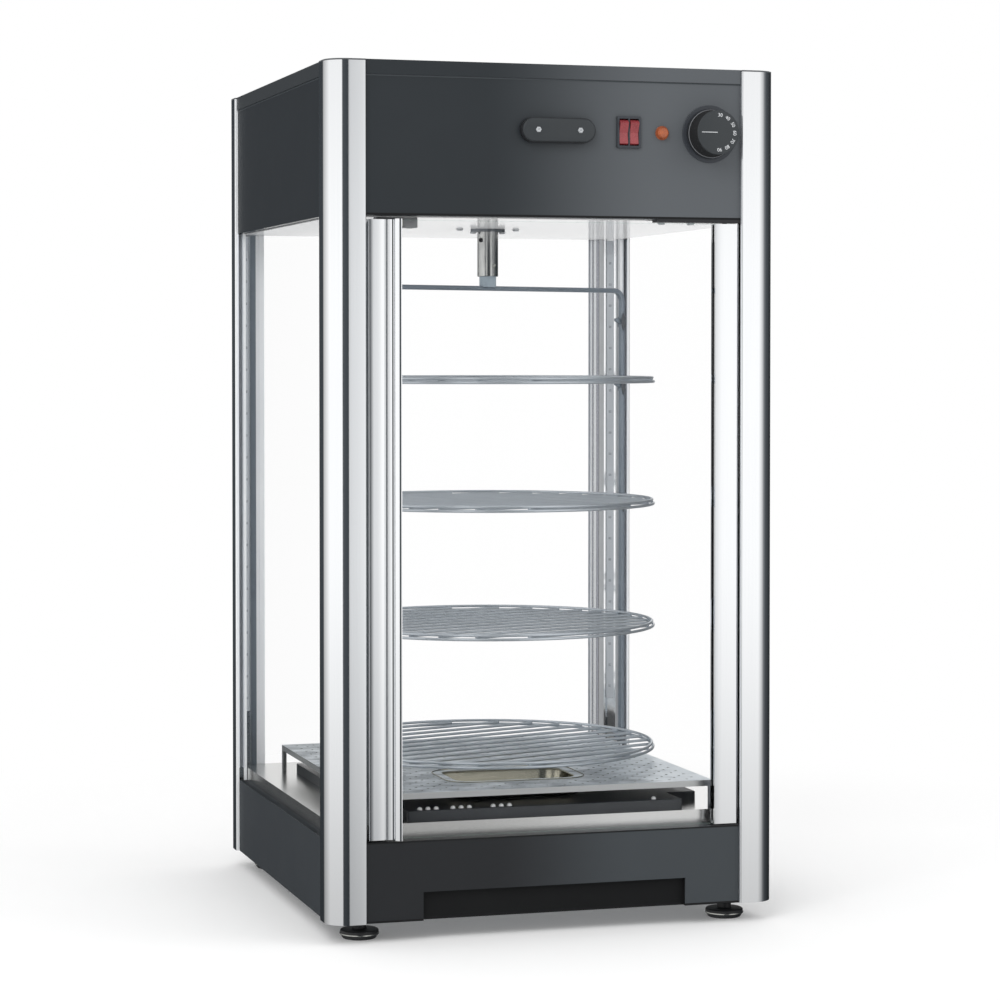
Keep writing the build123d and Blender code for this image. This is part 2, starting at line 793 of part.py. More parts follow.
# Cross pin that hangs the rack in the tube
with BuildPart() as rack_pin:
    with BuildSketch(rack_front):
        with Locations((0, z_cross_pin)):
            Circle(cross_pin_radius)
    extrude(amount=tube_radius + cross_pin_overhang, both=True)
rack_pin.part.label = "rack_pin"
export_step(rack_pin.part, "parts/rack_pin.step")

# Hanger: a slim bar bent into an inverted U, with a neck on top, a hook under each shelf and a spare pair
shelf_levels = [z_post + lowest_shelf_rise + shelf_pitch * i for i in range(shelf_count)]
z_hanger = z_tube_low - hanger_drop
hanger_inner = shelf_radius + seat_gap
hanger_outer = hanger_inner + hanger_thickness
hook_drop = shelf_rim_height / 2 + seat_gap
hook_seats = [level - hook_drop for level in shelf_levels]
hook_seats.append(hook_seats[-1] + spare_hook_rise)
z_hanger_low = hook_seats[0] - hook_height
with BuildPart() as rack_hanger:
    with BuildSketch(rack_front) as hanger_outside:
        with Locations((0, z_hanger_low)):
            Rectangle(2 * hanger_outer, z_hanger - z_hanger_low, align=(Align.CENTER, Align.MIN))
        fillet(hanger_outside.vertices().group_by(Axis.Y)[-1], hanger_bend)
    extrude(amount=hanger_width / 2, both=True)
    with BuildSketch(rack_front) as hanger_inside:
        with Locations((0, z_hanger_low)):
            Rectangle(
                2 * hanger_inner,
                z_hanger - hanger_thickness - z_hanger_low,
                align=(Align.CENTER, Align.MIN),
            )
        fillet(hanger_inside.vertices().group_by(Axis.Y)[-1], hanger_bend - hanger_thickness)
    extrude(amount=hanger_width / 2, both=True, mode=Mode.SUBTRACT)
    with BuildSketch(rack_front):
        for seat in hook_seats:
            for side_sign in (-1, 1):
                with BuildLine():
                    Polyline(
                        (side_sign * hanger_inner, seat),
                        (side_sign * (hanger_inner - hook_reach), seat),
                        (side_sign * (hanger_inner - hook_reach), seat - hook_thickness),
                        (side_sign * hanger_inner, seat - hook_height),
                        close=True,
                    )
                make_face()
    extrude(amount=hook_thickness / 2, both=True)
    with BuildSketch(rack_plane.offset(z_hanger)):
        Circle(tube_radius - tube_wall - neck_play)
    extrude(amount=z_tube_high - tube_crown - neck_top_gap - z_hanger)
    with BuildSketch(rack_front):
        with Locations((0, z_cross_pin)):
            Circle(cross_pin_radius + running_fit)
    extrude(amount=tube_radius, both=True, mode=Mode.SUBTRACT)
rack_hanger.part.label = "rack_hanger"
export_step(rack_hanger.part, "parts/rack_hanger.step")

# Four round shelves: a flat rim with straight bars across it
rim_centre_radius = shelf_radius - shelf_rim_width / 2
bars_each_side = int((rim_centre_radius - shelf_bar) / shelf_bar_pitch)
bar_offsets = [shelf_bar_pitch * i for i in range(-bars_each_side, bars_each_side + 1)]
for number, level in enumerate(reversed(shelf_levels), start=1):
    with BuildPart() as shelf:
        with BuildSketch(rack_front):
            with Locations((rim_centre_radius, level)):
                Rectangle(shelf_rim_width, shelf_rim_height)
        revolve(axis=rack_axis)
        with BuildSketch(rack_plane.offset(level - shelf_bar / 2)):
            for bar_offset in bar_offsets:
                with Locations((0, bar_offset)):
                    Rectangle(2 * sqrt(rim_centre_radius**2 - bar_offset**2), shelf_bar)
        extrude(amount=shelf_bar)
    shelf.part.label = f"shelf_{number}"
    export_step(shelf.part, f"parts/shelf_{number}.step")

# Door glass, its edges held in the slots of the two stiles
door_low = z_base_top + lower_plate_thickness + door_end_gap
door_high = z_header - upper_plate_thickness - door_end_gap
door_height = door_high - door_low
door_left_x = x_left + leg_width + door_side_gap
left_stile_inner = door_left_x + stile_width
right_stile_inner = door_edge_x - stile_width
pane_bite = stile_slot_depth - glass_play
with BuildPart() as door_glass:
    with BuildSketch(Plane.XY.offset(door_low)):
        with Locations(((left_stile_inner + right_stile_inner) / 2, y_pivot)):
            Rectangle(right_stile_inner - left_stile_inner + 2 * pane_bite, glass_thickness)
    extrude(amount=door_height)
door_glass.part.label = "door_glass"
export_step(door_glass.part, "parts/door_glass.step")

# Stile section: outer edge at the origin, glass slot at the inner edge, chamber for the pivot block
block_chamber = pivot_block_size + 2 * hole_clearance
with BuildSketch() as stile_section:
    Rectangle(stile_width, stile_depth, align=(Align.MIN, Align.CENTER))
    fillet(stile_section.vertices().group_by(Axis.X)[0], stile_radius)
    with Locations((stile_width, 0)):
        Rectangle(
            stile_slot_depth,
            slot_width,
            align=(Align.MAX, Align.CENTER),
            mode=Mode.SUBTRACT,
        )
    with Locations((stile_width / 2, 0)):
        Rectangle(block_chamber, block_chamber, mode=Mode.SUBTRACT)

# Left stile, grooved along its front, and right stile
left_stile_plane = Plane(origin=(door_left_x, y_pivot, door_low), x_dir=(1, 0, 0))
right_stile_plane = Plane(origin=(door_edge_x, y_pivot, door_low), x_dir=(-1, 0, 0))
with BuildPart() as door_left_stile:
    with BuildSketch(left_stile_plane):
        add(stile_section.sketch)
        with Locations((stile_groove_inset, -stile_depth / 2)):
            Rectangle(
                stile_groove,
                stile_groove,
                align=(Align.MIN, Align.MIN),
                mode=Mode.SUBTRACT,
            )
    extrude(amount=door_height)
door_left_stile.part.label = "door_left_stile"
export_step(door_left_stile.part, "parts/door_left_stile.step")

with BuildPart() as door_right_stile:
    with BuildSketch(right_stile_plane):
        add(stile_section.sketch)
    extrude(amount=door_height)
door_right_stile.part.label = "door_right_stile"
export_step(door_right_stile.part, "parts/door_right_stile.step")

# Pivot blocks in the ends of the right stile
block_lows = (door_low, door_high - pivot_block_length)
with BuildPart() as pivot_blocks:
    with BuildSketch(*[Plane(origin=(x_pivot, y_pivot, low)) for low in block_lows]):
        Rectangle(pivot_block_size, pivot_block_size)
        Circle(pivot_radius + running_fit, mode=Mode.SUBTRACT)
    extrude(amount=pivot_block_length)
pivot_blocks.part.label = "pivot_blocks"
export_step(pivot_blocks.part, "parts/pivot_blocks.step")

# Round-nosed pull along the inner edge of the left stile, standing out in front of the glass
handle_back = y_pivot - glass_thickness / 2 - seat_gap
handle_nose = y_front + handle_stand_off
with BuildPart() as door_handle:
    with BuildSketch(Plane.XY.offset(door_low - handle_overhang)):
        with Locations((left_stile_inner + handle_radius, handle_nose)):
            Circle(handle_radius)
            Rectangle(
                2 * handle_radius,
                handle_back - handle_nose,
                align=(Align.CENTER, Align.MIN),
            )
    extrude(amount=door_height + 2 * handle_overhang)
door_handle.part.label = "door_handle"
export_step(door_handle.part, "parts/door_handle.step")

# Upper hinge plate, screwed up into the header flange, with its pin pointing down
with BuildPart() as upper_hinge_plate:
    with BuildSketch(Plane.XY.offset(z_upper_plate)):
        with Locations((upper_plate_right, upper_plate_front)):
            Rectangle(upper_plate_length, upper_plate_depth, align=(Align.MAX, Align.MIN))
        with Locations(*hinge_screw_places):
            Circle(screw_hole_radius, mode=Mode.SUBTRACT)
    extrude(amount=upper_plate_thickness)
    with BuildSketch(Plane.XY.offset(z_upper_plate)):
        with Locations((x_pivot, y_pivot)):
            Circle(pivot_radius)
    extrude(amount=-pivot_length)
upper_hinge_plate.part.label = "upper_hinge_plate"
export_step(upper_hinge_plate.part, "parts/upper_hinge_plate.step")

# Lower hinge plate on the base flange, with its pin pointing up
with BuildPart() as lower_hinge_plate:
    with BuildSketch(Plane.XY.offset(z_base_top)):
        with Locations((upper_plate_right, upper_plate_front)):
            Rectangle(lower_plate_length, upper_plate_depth, align=(Align.MAX, Align.MIN))
    extrude(amount=lower_plate_thickness)
    with BuildSketch(Plane.XY.offset(z_base_top + lower_plate_thickness)):
        with Locations((x_pivot, y_pivot)):
            Circle(pivot_radius)
    extrude(amount=pivot_length)
lower_hinge_plate.part.label = "lower_hinge_plate"
export_step(lower_hinge_plate.part, "parts/lower_hinge_plate.step")

# Magnetic catch under the ceiling, behind the free edge of the door
catch_front = y_front + door_face + stile_depth + seat_gap
with BuildPart() as door_catch:
    with BuildSketch(Plane.XY.offset(z_ceiling - catch_height)):
        with Locations((left_stile_inner - stile_width / 2, catch_front)):
            Rectangle(catch_length, catch_depth, align=(Align.MIN, Align.MIN))
    extrude(amount=catch_height)
    chamfer(door_catch.edges().group_by(Axis.Z)[0], deck_sheet)
door_catch.part.label = "door_catch"
export_step(door_catch.part, "parts/door_catch.step")

# Blank pill-shaped plate on the header, held by two screws
with BuildPart() as blank_plate:
    with BuildSketch(front_face):
        with Locations((x_plate, z_control)):
            SlotOverall(plate_length, plate_breadth)
    extrude(amount=plate_stand)
    chamfer(blank_plate.faces().sort_by(Axis.Y)[0].edges(), plate_edge)
    with BuildSketch(plate_face):
        with Locations(*plate_screw_places):
            Circle(screw_hole_radius)
    extrude(amount=-plate_stand, mode=Mode.SUBTRACT)
blank_plate.part.label = "blank_plate"
export_step(blank_plate.part, "parts/blank_plate.step")

# Double rocker switch: a bezel and housing with two windows
window_width = (bezel_width - 2 * bezel_border - bezel_divider) / 2
window_height = bezel_height - 2 * bezel_border
window_places = [
    (x_switch - (window_width + bezel_divider) / 2, z_control),
    (x_switch + (window_width + bezel_divider) / 2, z_control),
]
rocker_radius = window_height / 2 - rocker_play
rocker_width = window_width - 2 * rocker_play
pin_reach = window_width / 2 + rocker_pin_bite
bezel_face = front_face.offset(bezel_stand)
y_rocker = y_front + panel_recess - bezel_stand + rocker_pivot_depth
window_depth = rocker_pivot_depth + rocker_heel_depth + rocker_radius * sin(radians(rocker_tilt)) + free_gap
with BuildPart() as switch_housing:
    with BuildSketch(front_face):
        with Locations((x_switch, z_control)):
            Rectangle(bezel_width, bezel_height)
    extrude(amount=bezel_stand)
    with BuildSketch(front_face):
        with Locations((x_switch, z_control)):
            Rectangle(housing_width, housing_height)
    extrude(amount=-housing_depth)
    with BuildSketch(bezel_face):
        with Locations(*window_places):
            Rectangle(window_width, window_height)
    extrude(amount=-window_depth, mode=Mode.SUBTRACT)
    with BuildSketch(*[Plane(origin=(x, y_rocker, z), z_dir=(1, 0, 0)) for x, z in window_places]):
        Circle(rocker_pin_radius + running_fit)
    extrude(amount=pin_reach + free_gap, both=True, mode=Mode.SUBTRACT)
switch_housing.part.label = "switch_housing"
export_step(switch_housing.part, "parts/switch_housing.step")

# Two rockers on pivot pins, each with arc ends and a shallow V across its face, the lower end in
rocker_face_dir = (0, -cos(radians(rocker_tilt)), -sin(radians(rocker_tilt)))
tip_rise = sqrt(rocker_radius**2 - rocker_tip_stand**2)
heel_rise = sqrt(rocker_radius**2 - rocker_heel_depth**2)
for name, (x, z) in zip(("left", "right"), window_places):
    with BuildPart() as rocker:
        with BuildSketch(Plane(origin=(x, y_rocker, z), x_dir=rocker_face_dir, z_dir=(-1, 0, 0))):
            with BuildLine():
                Line((rocker_valley_stand, 0), (rocker_tip_stand, tip_rise))
                ThreePointArc(
                    (rocker_tip_stand, tip_rise),
                    (0, rocker_radius),
                    (-rocker_heel_depth, heel_rise),
                )
                Line((-rocker_heel_depth, heel_rise), (-rocker_heel_depth, -heel_rise))
                ThreePointArc(
                    (-rocker_heel_depth, -heel_rise),
                    (0, -rocker_radius),
                    (rocker_tip_stand, -tip_rise),
                )
                Line((rocker_tip_stand, -tip_rise), (rocker_valley_stand, 0))
            make_face()
        extrude(amount=rocker_width / 2, both=True)
        with BuildSketch(Plane(origin=(x, y_rocker, z), z_dir=(1, 0, 0))):
            Circle(rocker_pin_radius)
        extrude(amount=pin_reach, both=True)
    rocker.part.label = f"rocker_{name}"
    export_step(rocker.part, f"parts/rocker_{name}.step")

# Pilot lamp: a domed lens on a barrel through the panel
with BuildPart() as pilot_lamp:
    with BuildSketch(front_face):
        with Locations((x_lamp, z_control)):
            Circle(lamp_radius)
    extrude(amount=lamp_dome)
    chamfer(pilot_lamp.faces().sort_by(Axis.Y)[0].edges(), lamp_edge)
    with BuildSketch(front_face):
        with Locations((x_lamp, z_control)):
            Circle(lamp_barrel_radius)
    extrude(amount=-lamp_barrel_length)
pilot_lamp.part.label = "pilot_lamp"
export_step(pilot_lamp.part, "parts/pilot_lamp.step")

# Scale disc round the thermostat knob
scale_face = front_face.offset(scale_thickness)
with BuildPart() as knob_scale:
    with BuildSketch(front_face):
        with Locations((x_knob, z_control)):
            Circle(scale_radius)
            Circle(thermostat_spindle_radius + free_gap, mode=Mode.SUBTRACT)
    extrude(amount=scale_thickness)
knob_scale.part.label = "knob_scale"
export_step(knob_scale.part, "parts/knob_scale.step")

# Thermostat behind the panel, with its spindle out through the panel and the scale
with BuildPart() as thermostat_body:
    with BuildSketch(front_back):
        with Locations((x_knob, z_control)):
            Rectangle(thermostat_size, thermostat_size)
    extrude(amount=-thermostat_depth)
    with BuildSketch(front_back):
        with Locations((x_knob, z_control)):
            Circle(thermostat_spindle_radius)
    extrude(amount=thermostat_spindle_reach)
thermostat_body.part.label = "thermostat_body"
export_step(thermostat_body.part, "parts/thermostat_body.step")

# Thermostat knob on the spindle
knob_back = scale_face.offset(seat_gap)
bore_depth = thermostat_spindle_reach - sheet - scale_thickness
with BuildPart() as thermostat_knob:
    with BuildSketch(knob_back):
        with Locations((x_knob, z_control)):
            Circle(knob_skirt_radius)
    extrude(amount=knob_skirt)
    with BuildSketch(knob_back):
        with Locations((x_knob, z_control)):
            Circle(knob_radius)
    extrude(amount=knob_height)
    chamfer(thermostat_knob.faces().sort_by(Axis.Y)[0].edges(), knob_edge)
    with BuildSketch(knob_back):
        with Locations((x_knob, z_control)):
            Circle(thermostat_spindle_radius + running_fit)
    extrude(amount=bore_depth, mode=Mode.SUBTRACT)
thermostat_knob.part.label = "thermostat_knob"
export_step(thermostat_knob.part, "parts/thermostat_knob.step")

# Power supply of the lamps and terminal block, standing on the ceiling
supply_mid = (-(gearbox_length + supply_breadth) / 2 - power_spacing, y_mid)
with BuildPart() as power_supply:
    with BuildSketch(Plane.XY.offset(z_header)):
        with Locations(supply_mid):
            Rectangle(supply_breadth, supply_length)
    extrude(amount=supply_height)
    chamfer(power_supply.edges().filter_by(Axis.Z), power_edge)
power_supply.part.label = "power_supply"
export_step(power_supply.part, "parts/power_supply.step")

terminal_mid = (-gland_offset, y_rear - flange_depth - terminal_breadth - gland_inner_length)
with BuildPart() as terminal_block:
    with BuildSketch(Plane.XY.offset(z_header)):
        with Locations(terminal_mid):
            Rectangle(terminal_length, terminal_breadth)
    extrude(amount=terminal_height)
    chamfer(terminal_block.edges().group_by(Axis.Z)[-1].filter_by(Axis.X), power_edge)
terminal_block.part.label = "terminal_block"
export_step(terminal_block.part, "parts/terminal_block.step")

# Cable gland through the rear panel: body, outer hexagon, dome nut and inner lock nut
rear_face = sides["rear"].offset(-panel_recess)
rear_back = rear_face.offset(-sheet)
with BuildPart() as cable_gland:
    with BuildSketch(rear_face.offset(gland_outer_length)):
        with Locations((gland_offset, z_gland)):
            Circle(gland_body_radius)
    extrude(amount=-(gland_outer_length + sheet + gland_inner_length))
    with BuildSketch(rear_face):
        with Locations((gland_offset, z_gland)):
            RegularPolygon(gland_hex_radius, 6)
    extrude(amount=gland_hex_length)
    with BuildSketch(rear_back):
        with Locations((gland_offset, z_gland)):
            RegularPolygon(gland_hex_radius, 6)
    extrude(amount=-gland_nut_length)
    with BuildSketch(rear_face.offset(gland_outer_length)):
        with Locations((gland_offset, z_gland)):
            Circle(gland_bore_radius)
    extrude(amount=-(gland_outer_length + sheet + gland_inner_length), mode=Mode.SUBTRACT)
cable_gland.part.label = "cable_gland"
export_step(cable_gland.part, "parts/cable_gland.step")
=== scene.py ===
from math import cos, pi, radians, sin, tan

import bmesh
import bpy
from mathutils import Matrix, Vector


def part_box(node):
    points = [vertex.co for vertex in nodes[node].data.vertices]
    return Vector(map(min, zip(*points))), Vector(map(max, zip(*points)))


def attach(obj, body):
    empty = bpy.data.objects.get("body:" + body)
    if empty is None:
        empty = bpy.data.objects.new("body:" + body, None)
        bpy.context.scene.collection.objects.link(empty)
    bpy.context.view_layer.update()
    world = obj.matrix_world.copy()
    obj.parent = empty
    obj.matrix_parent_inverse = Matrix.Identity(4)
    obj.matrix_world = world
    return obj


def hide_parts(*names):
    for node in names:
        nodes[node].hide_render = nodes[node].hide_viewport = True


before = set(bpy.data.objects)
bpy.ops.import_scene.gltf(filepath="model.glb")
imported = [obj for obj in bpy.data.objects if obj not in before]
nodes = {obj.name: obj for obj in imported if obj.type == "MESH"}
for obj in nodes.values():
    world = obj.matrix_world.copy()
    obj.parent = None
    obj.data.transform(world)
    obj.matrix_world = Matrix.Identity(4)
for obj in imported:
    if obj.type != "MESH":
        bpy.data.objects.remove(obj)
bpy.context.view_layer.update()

mm = 0.001

# Places that more than one piece is made from, in metres.
x_left, y_front, z_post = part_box("post_front_left")[0]
x_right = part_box("post_front_right")[1].x
y_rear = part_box("post_rear_left")[1].y
y_mid = (y_front + y_rear) / 2
z_cap, z_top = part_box("post_caps")[0].z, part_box("post_caps")[1].z
z_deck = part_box("floor_deck")[1].z
z_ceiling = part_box("ceiling_panel")[0].z
y_panel, z_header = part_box("header_front_panel")[0].y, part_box("header_front_panel")[0].z
z_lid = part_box("top_cover")[0].z
base_low, base_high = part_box("base_front_panel")[0].z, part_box("base_front_panel")[1].z
rack_turn = radians(19)


def size(node):
    """The three sizes of a CAD node, in millimetres."""
    low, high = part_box(node)
    return (high - low) / mm


def middle(node):
    """The middle of a CAD node, in metres."""
    low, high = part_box(node)
    return (low + high) / 2


# Finishes: colours are given in 0 to 255 screen steps, places in metres

along_x = (5, 900, 900)
along_z = (900, 900, 5)


def tone(red, green, blue):
    """A colour for a shader, from its screen steps."""
    steps = [value / 255 for value in (red, green, blue)]
    return (*[s / 12.92 if s < 0.04 else ((s + 0.055) / 1.055) ** 2.4 for s in steps], 1.0)


class Number:
    """A socket that carries a number, so that shader sums read as Python's own."""

    def __init__(self, finish, socket):
        self.finish = finish
        self.socket = socket

    def sum(self, operation, first, second):
        made = self.finish.node("ShaderNodeMath", {"operation": operation}, {0: first, 1: second})
        return Number(self.finish, made.outputs[0])

    def __add__(self, other):
        return self.sum("ADD", self, other)

    __radd__ = __add__

    def __sub__(self, other):
        return self.sum("SUBTRACT", self, other)

    def __mul__(self, other):
        return self.sum("MULTIPLY", self, other)

    def __truediv__(self, other):
        return self.sum("DIVIDE", self, other)

    def __pow__(self, other):
        return self.sum("POWER", self, other)

    def __gt__(self, other):
        return self.sum("GREATER_THAN", self, other)

    def __lt__(self, other):
        return self.sum("LESS_THAN", self, other)


class Finish:
    """The nodes of one material, or of the world."""

    def __init__(self, owner):
        owner.use_nodes = True
        self.owner = owner
        self.tree = owner.node_tree
        self.tree.nodes.clear()

    def node(self, kind, settings=None, inputs=None):
        made = self.tree.nodes.new(kind)
        for name, value in (settings or {}).items():
            setattr(made, name, value)
        for key, value in (inputs or {}).items():
            self.feed(made.inputs[key], value)
        return made

    def feed(self, socket, value):
        if isinstance(value, Number):
            value = value.socket
        if isinstance(value, bpy.types.NodeSocket):
            self.tree.links.new(value, socket)
        else:
            socket.default_value = value

    def spread(self, stretch=(1, 1, 1)):
        """Object coordinates, in metres, stretched along each axis."""
        place = self.node("ShaderNodeTexCoord").outputs["Object"]
        return self.node("ShaderNodeMapping", None, {"Vector": place, "Scale": stretch}).outputs[0]

    def along(self, axis):
        """One object coordinate, in metres."""
        parts = self.node("ShaderNodeSeparateXYZ", None, {"Vector": self.spread()})
        return Number(self, parts.outputs["XYZ".index(axis)])

    def rise(self, value, low, high):
        """A share that climbs smoothly from 0 to 1 between two values."""
        inputs = {"Value": value, "From Min": low, "From Max": high}
        made = self.node("ShaderNodeMapRange", {"interpolation_type": "SMOOTHSTEP"}, inputs)
        return Number(self, made.outputs[0])

    def noise(self, scale, stretch=(1, 1, 1), detail=2.0):
        inputs = {"Vector": self.spread(stretch), "Scale": scale, "Detail": detail}
        return Number(self, self.node("ShaderNodeTexNoise", None, inputs).outputs[0])

    def mix(self, first, second, share):
        """A colour between two others."""
        made = self.node("ShaderNodeMix", {"data_type": "RGBA"}, {0: share, 6: first, 7: second})
        return made.outputs[2]

    def shade(self, first, second, share):
        """A colour between two that are given in screen steps."""
        return self.mix(tone(*first), tone(*second), share)

    def bump(self, height, depth):
        inputs = {"Height": height, "Distance": depth, "Strength": 1.0}
        return self.node("ShaderNodeBump", None, inputs).outputs[0]

    def surface(self, **inputs):
        """The Principled shader, with each socket named with underscores for spaces."""
        named = {name.replace("_", " "): value for name, value in inputs.items()}
        shader = self.node("ShaderNodeBsdfPrincipled", None, named)
        self.node("ShaderNodeOutputMaterial", None, {"Surface": shader.outputs[0]})


looks = {}


def new_finish(name):
    looks[name] = bpy.data.materials.new(name)
    return Finish(looks[name])


def drawn_metal(name, light, dark, roughness, stretch, depth=2e-6):
    """Metal with fine lines along one axis and a slow change of tone."""
    finish = new_finish(name)
    lines = finish.noise(1.0, stretch, 3.0)
    cloud = finish.noise(7.0)
    finish.surface(
        Base_Color=finish.shade(light, dark, lines * 0.5 + cloud * 0.5),
        Metallic=1.0,
        Roughness=roughness + (lines - 0.5) * 0.1,
        Normal=finish.bump(lines, depth),
    )


def fading_metal(name, first, last, span, metallic, roughness, grain=along_z, gloss=0.5):
    """Metal with fine lines, whose tone changes between two places along the case's width, as painted
    light and shade.
    """
    finish = new_finish(name)
    lines = finish.noise(1.0, grain, 3.0)
    share = finish.rise(finish.along("X"), *span)
    finish.surface(
        Base_Color=finish.shade(first, last, share + (lines - 0.5) * 0.2),
        Metallic=metallic,
        Roughness=lines * 0.1 + roughness,
        Specular_IOR_Level=gloss,
        Normal=finish.bump(lines, 2e-6),
    )


def coated(name, light, dark, roughness, grain=1400.0, depth=2e-5, metallic=0.0, gloss=0.5):
    """Powder coat or moulded plastic, with a fine pebbled skin."""
    finish = new_finish(name)
    pebbles = finish.noise(grain)
    cloud = finish.noise(9.0, detail=4.0)
    finish.surface(
        Base_Color=finish.shade(light, dark, cloud),
        Metallic=metallic,
        Roughness=roughness + (cloud - 0.5) * 0.12,
        Specular_IOR_Level=gloss,
        Normal=finish.bump(pebbles, depth),
    )


def panel_paint(name, first, last, span, painted_strips=(), gloss=0.35):
    """Powder coat with painted light: its tone changes along the case's width, and level strips of
    painted shade or painted light lie over it.
    """
    finish = new_finish(name)
    height = finish.along("Z")
    cloud = finish.noise(9.0, detail=4.0)
    share = finish.rise(finish.along("X"), *span)
    colour = finish.shade(first, last, share + (cloud - 0.5) * 0.1)
    # Each strip is painted shade along a folded edge, or painted light along the lid seam.
    for low, high, strip in painted_strips:
        colour = finish.mix(colour, tone(*strip), (height > low) * (height < high))
    finish.surface(
        Base_Color=colour,
        Roughness=0.42 + (cloud - 0.5) * 0.12,
        Specular_IOR_Level=gloss,
        Normal=finish.bump(finish.noise(1400.0), 2e-5),
    )


def galvanised_sheet():
    """Zinc-dipped sheet with its crystal pattern."""
    finish = new_finish("galvanised")
    cells = finish.node("ShaderNodeTexVoronoi", None, {"Vector": finish.spread(), "Scale": 90.0})
    crystal = Number(finish, cells.outputs["Distance"])
    finish.surface(
        Base_Color=finish.shade((176, 180, 183), (140, 146, 150), crystal),
        Metallic=1.0,
        Roughness=crystal * 0.25 + 0.3,
    )


def bench_top_steel():
    """Dark blued steel that heat has mottled; painted light makes it paler towards its right end."""
    finish = new_finish("bench_top")
    clouds = finish.noise(34.0, (1, 1.6, 1), 6.0)
    lines = finish.noise(1.0, (60, 500, 60), 4.0)
    mottle = clouds * 0.7 + lines * 0.3
    painted_light = finish.rise(finish.along("X"), 0.06, 0.17)
    finish.surface(
        Base_Color=finish.shade((224, 231, 236), (110, 118, 125), mottle * 2.2 - 0.6 - painted_light * 0.7),
        Metallic=0.85,
        Roughness=clouds * 0.3 + 0.28,
        Normal=finish.bump(mottle, 6e-5),
    )


def clear_pane(name, low, high):
    """Clear glass: it mirrors more at a low angle, and is green along its free edges, low and high."""
    finish = new_finish(name)
    slant = Number(finish, finish.node("ShaderNodeLayerWeight").outputs["Facing"])
    smears = finish.noise(5.0)
    height = finish.along("Z")
    edge = (height < low + 0.5 * mm) + (height > high - 0.5 * mm)
    finish.surface(
        Base_Color=finish.shade((236, 244, 242), (150, 178, 168), edge),
        Metallic=1.0,
        Roughness=smears * 0.02 + 0.01,
        Alpha=slant**16 * 0.6 + edge * 0.15 + 0.002,
    )


def lens(name, light, dark, glow, strength):
    """Coloured plastic that the lamp behind it lights a little."""
    finish = new_finish(name)
    ribs = finish.noise(500.0)
    cloud = finish.noise(160.0)
    finish.surface(
        Base_Color=finish.shade(light, dark, cloud),
        Roughness=ribs * 0.2 + 0.16,
        Coat_Weight=0.6,
        Emission_Color=tone(*glow),
        Emission_Strength=strength,
        Normal=finish.bump(ribs, 8e-5),
    )


# Spans where painted light turns into painted shade along the case's width: the ceiling is painted
# darker at its left edge, and the bench's sheet darker near its right end.
light_falloff, ceiling_shade_span = (-0.1, 0.1), (-0.2, -0.1)
bench_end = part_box("heat_bench")[1].x
bench_end_shade = (bench_end - 16 * mm, bench_end - 5 * mm)

# Drawn metals: light and dark tone, roughness, stretch of the lines and their depth
for row in (
    ("anodised_post", (251, 252, 253), (244, 246, 248), 0.08, along_z, 1e-6),
    ("satin_aluminium", (226, 229, 232), (200, 205, 210), 0.2, along_z),
    ("pan_steel", (206, 203, 186), (150, 146, 130), 0.22, (60, 400, 400)),
    ("tube_steel", (244, 244, 240), (96, 101, 106), 0.2, (420, 420, 60)),
    ("zinc_plate", (222, 222, 216), (180, 182, 178), 0.25, (700, 700, 700)),
    ("dark_zinc", (150, 154, 158), (104, 108, 113), 0.35, (700, 700, 700)),
    ("element_sheath", (140, 126, 110), (84, 78, 76), 0.4, (40, 600, 600)),
):
    drawn_metal(*row)

# Fading metals, their change of tone painted light and shade: first and last tone, where one turns into
# the other, metal share and roughness
for row in (
    # The post tones are lit and shaded copies of the anodised aluminium, and the deck is painted darker
    # towards its left.
    ("post_rib", (252, 253, 254), (210, 212, 214), light_falloff, 0.8, 0.08),
    ("post_groove", (250, 252, 254), (154, 156, 162), light_falloff, 0.8, 0.08),
    ("post_step", (126, 135, 144), (204, 206, 208), light_falloff, 0.5, 0.25),
    ("post_end", (214, 218, 226), (210, 214, 218), light_falloff, 0.5, 0.25),
    ("stainless", (212, 212, 210), (242, 242, 241), light_falloff, 1.0, 0.18),
    ("ceiling_metal", (212, 213, 214), (244, 244, 244), ceiling_shade_span, 0.45, 0.06, along_z, 0.0),
    ("bench_steel", (208, 210, 210), (116, 119, 123), bench_end_shade, 1.0, 0.25, along_x),
):
    fading_metal(*row)

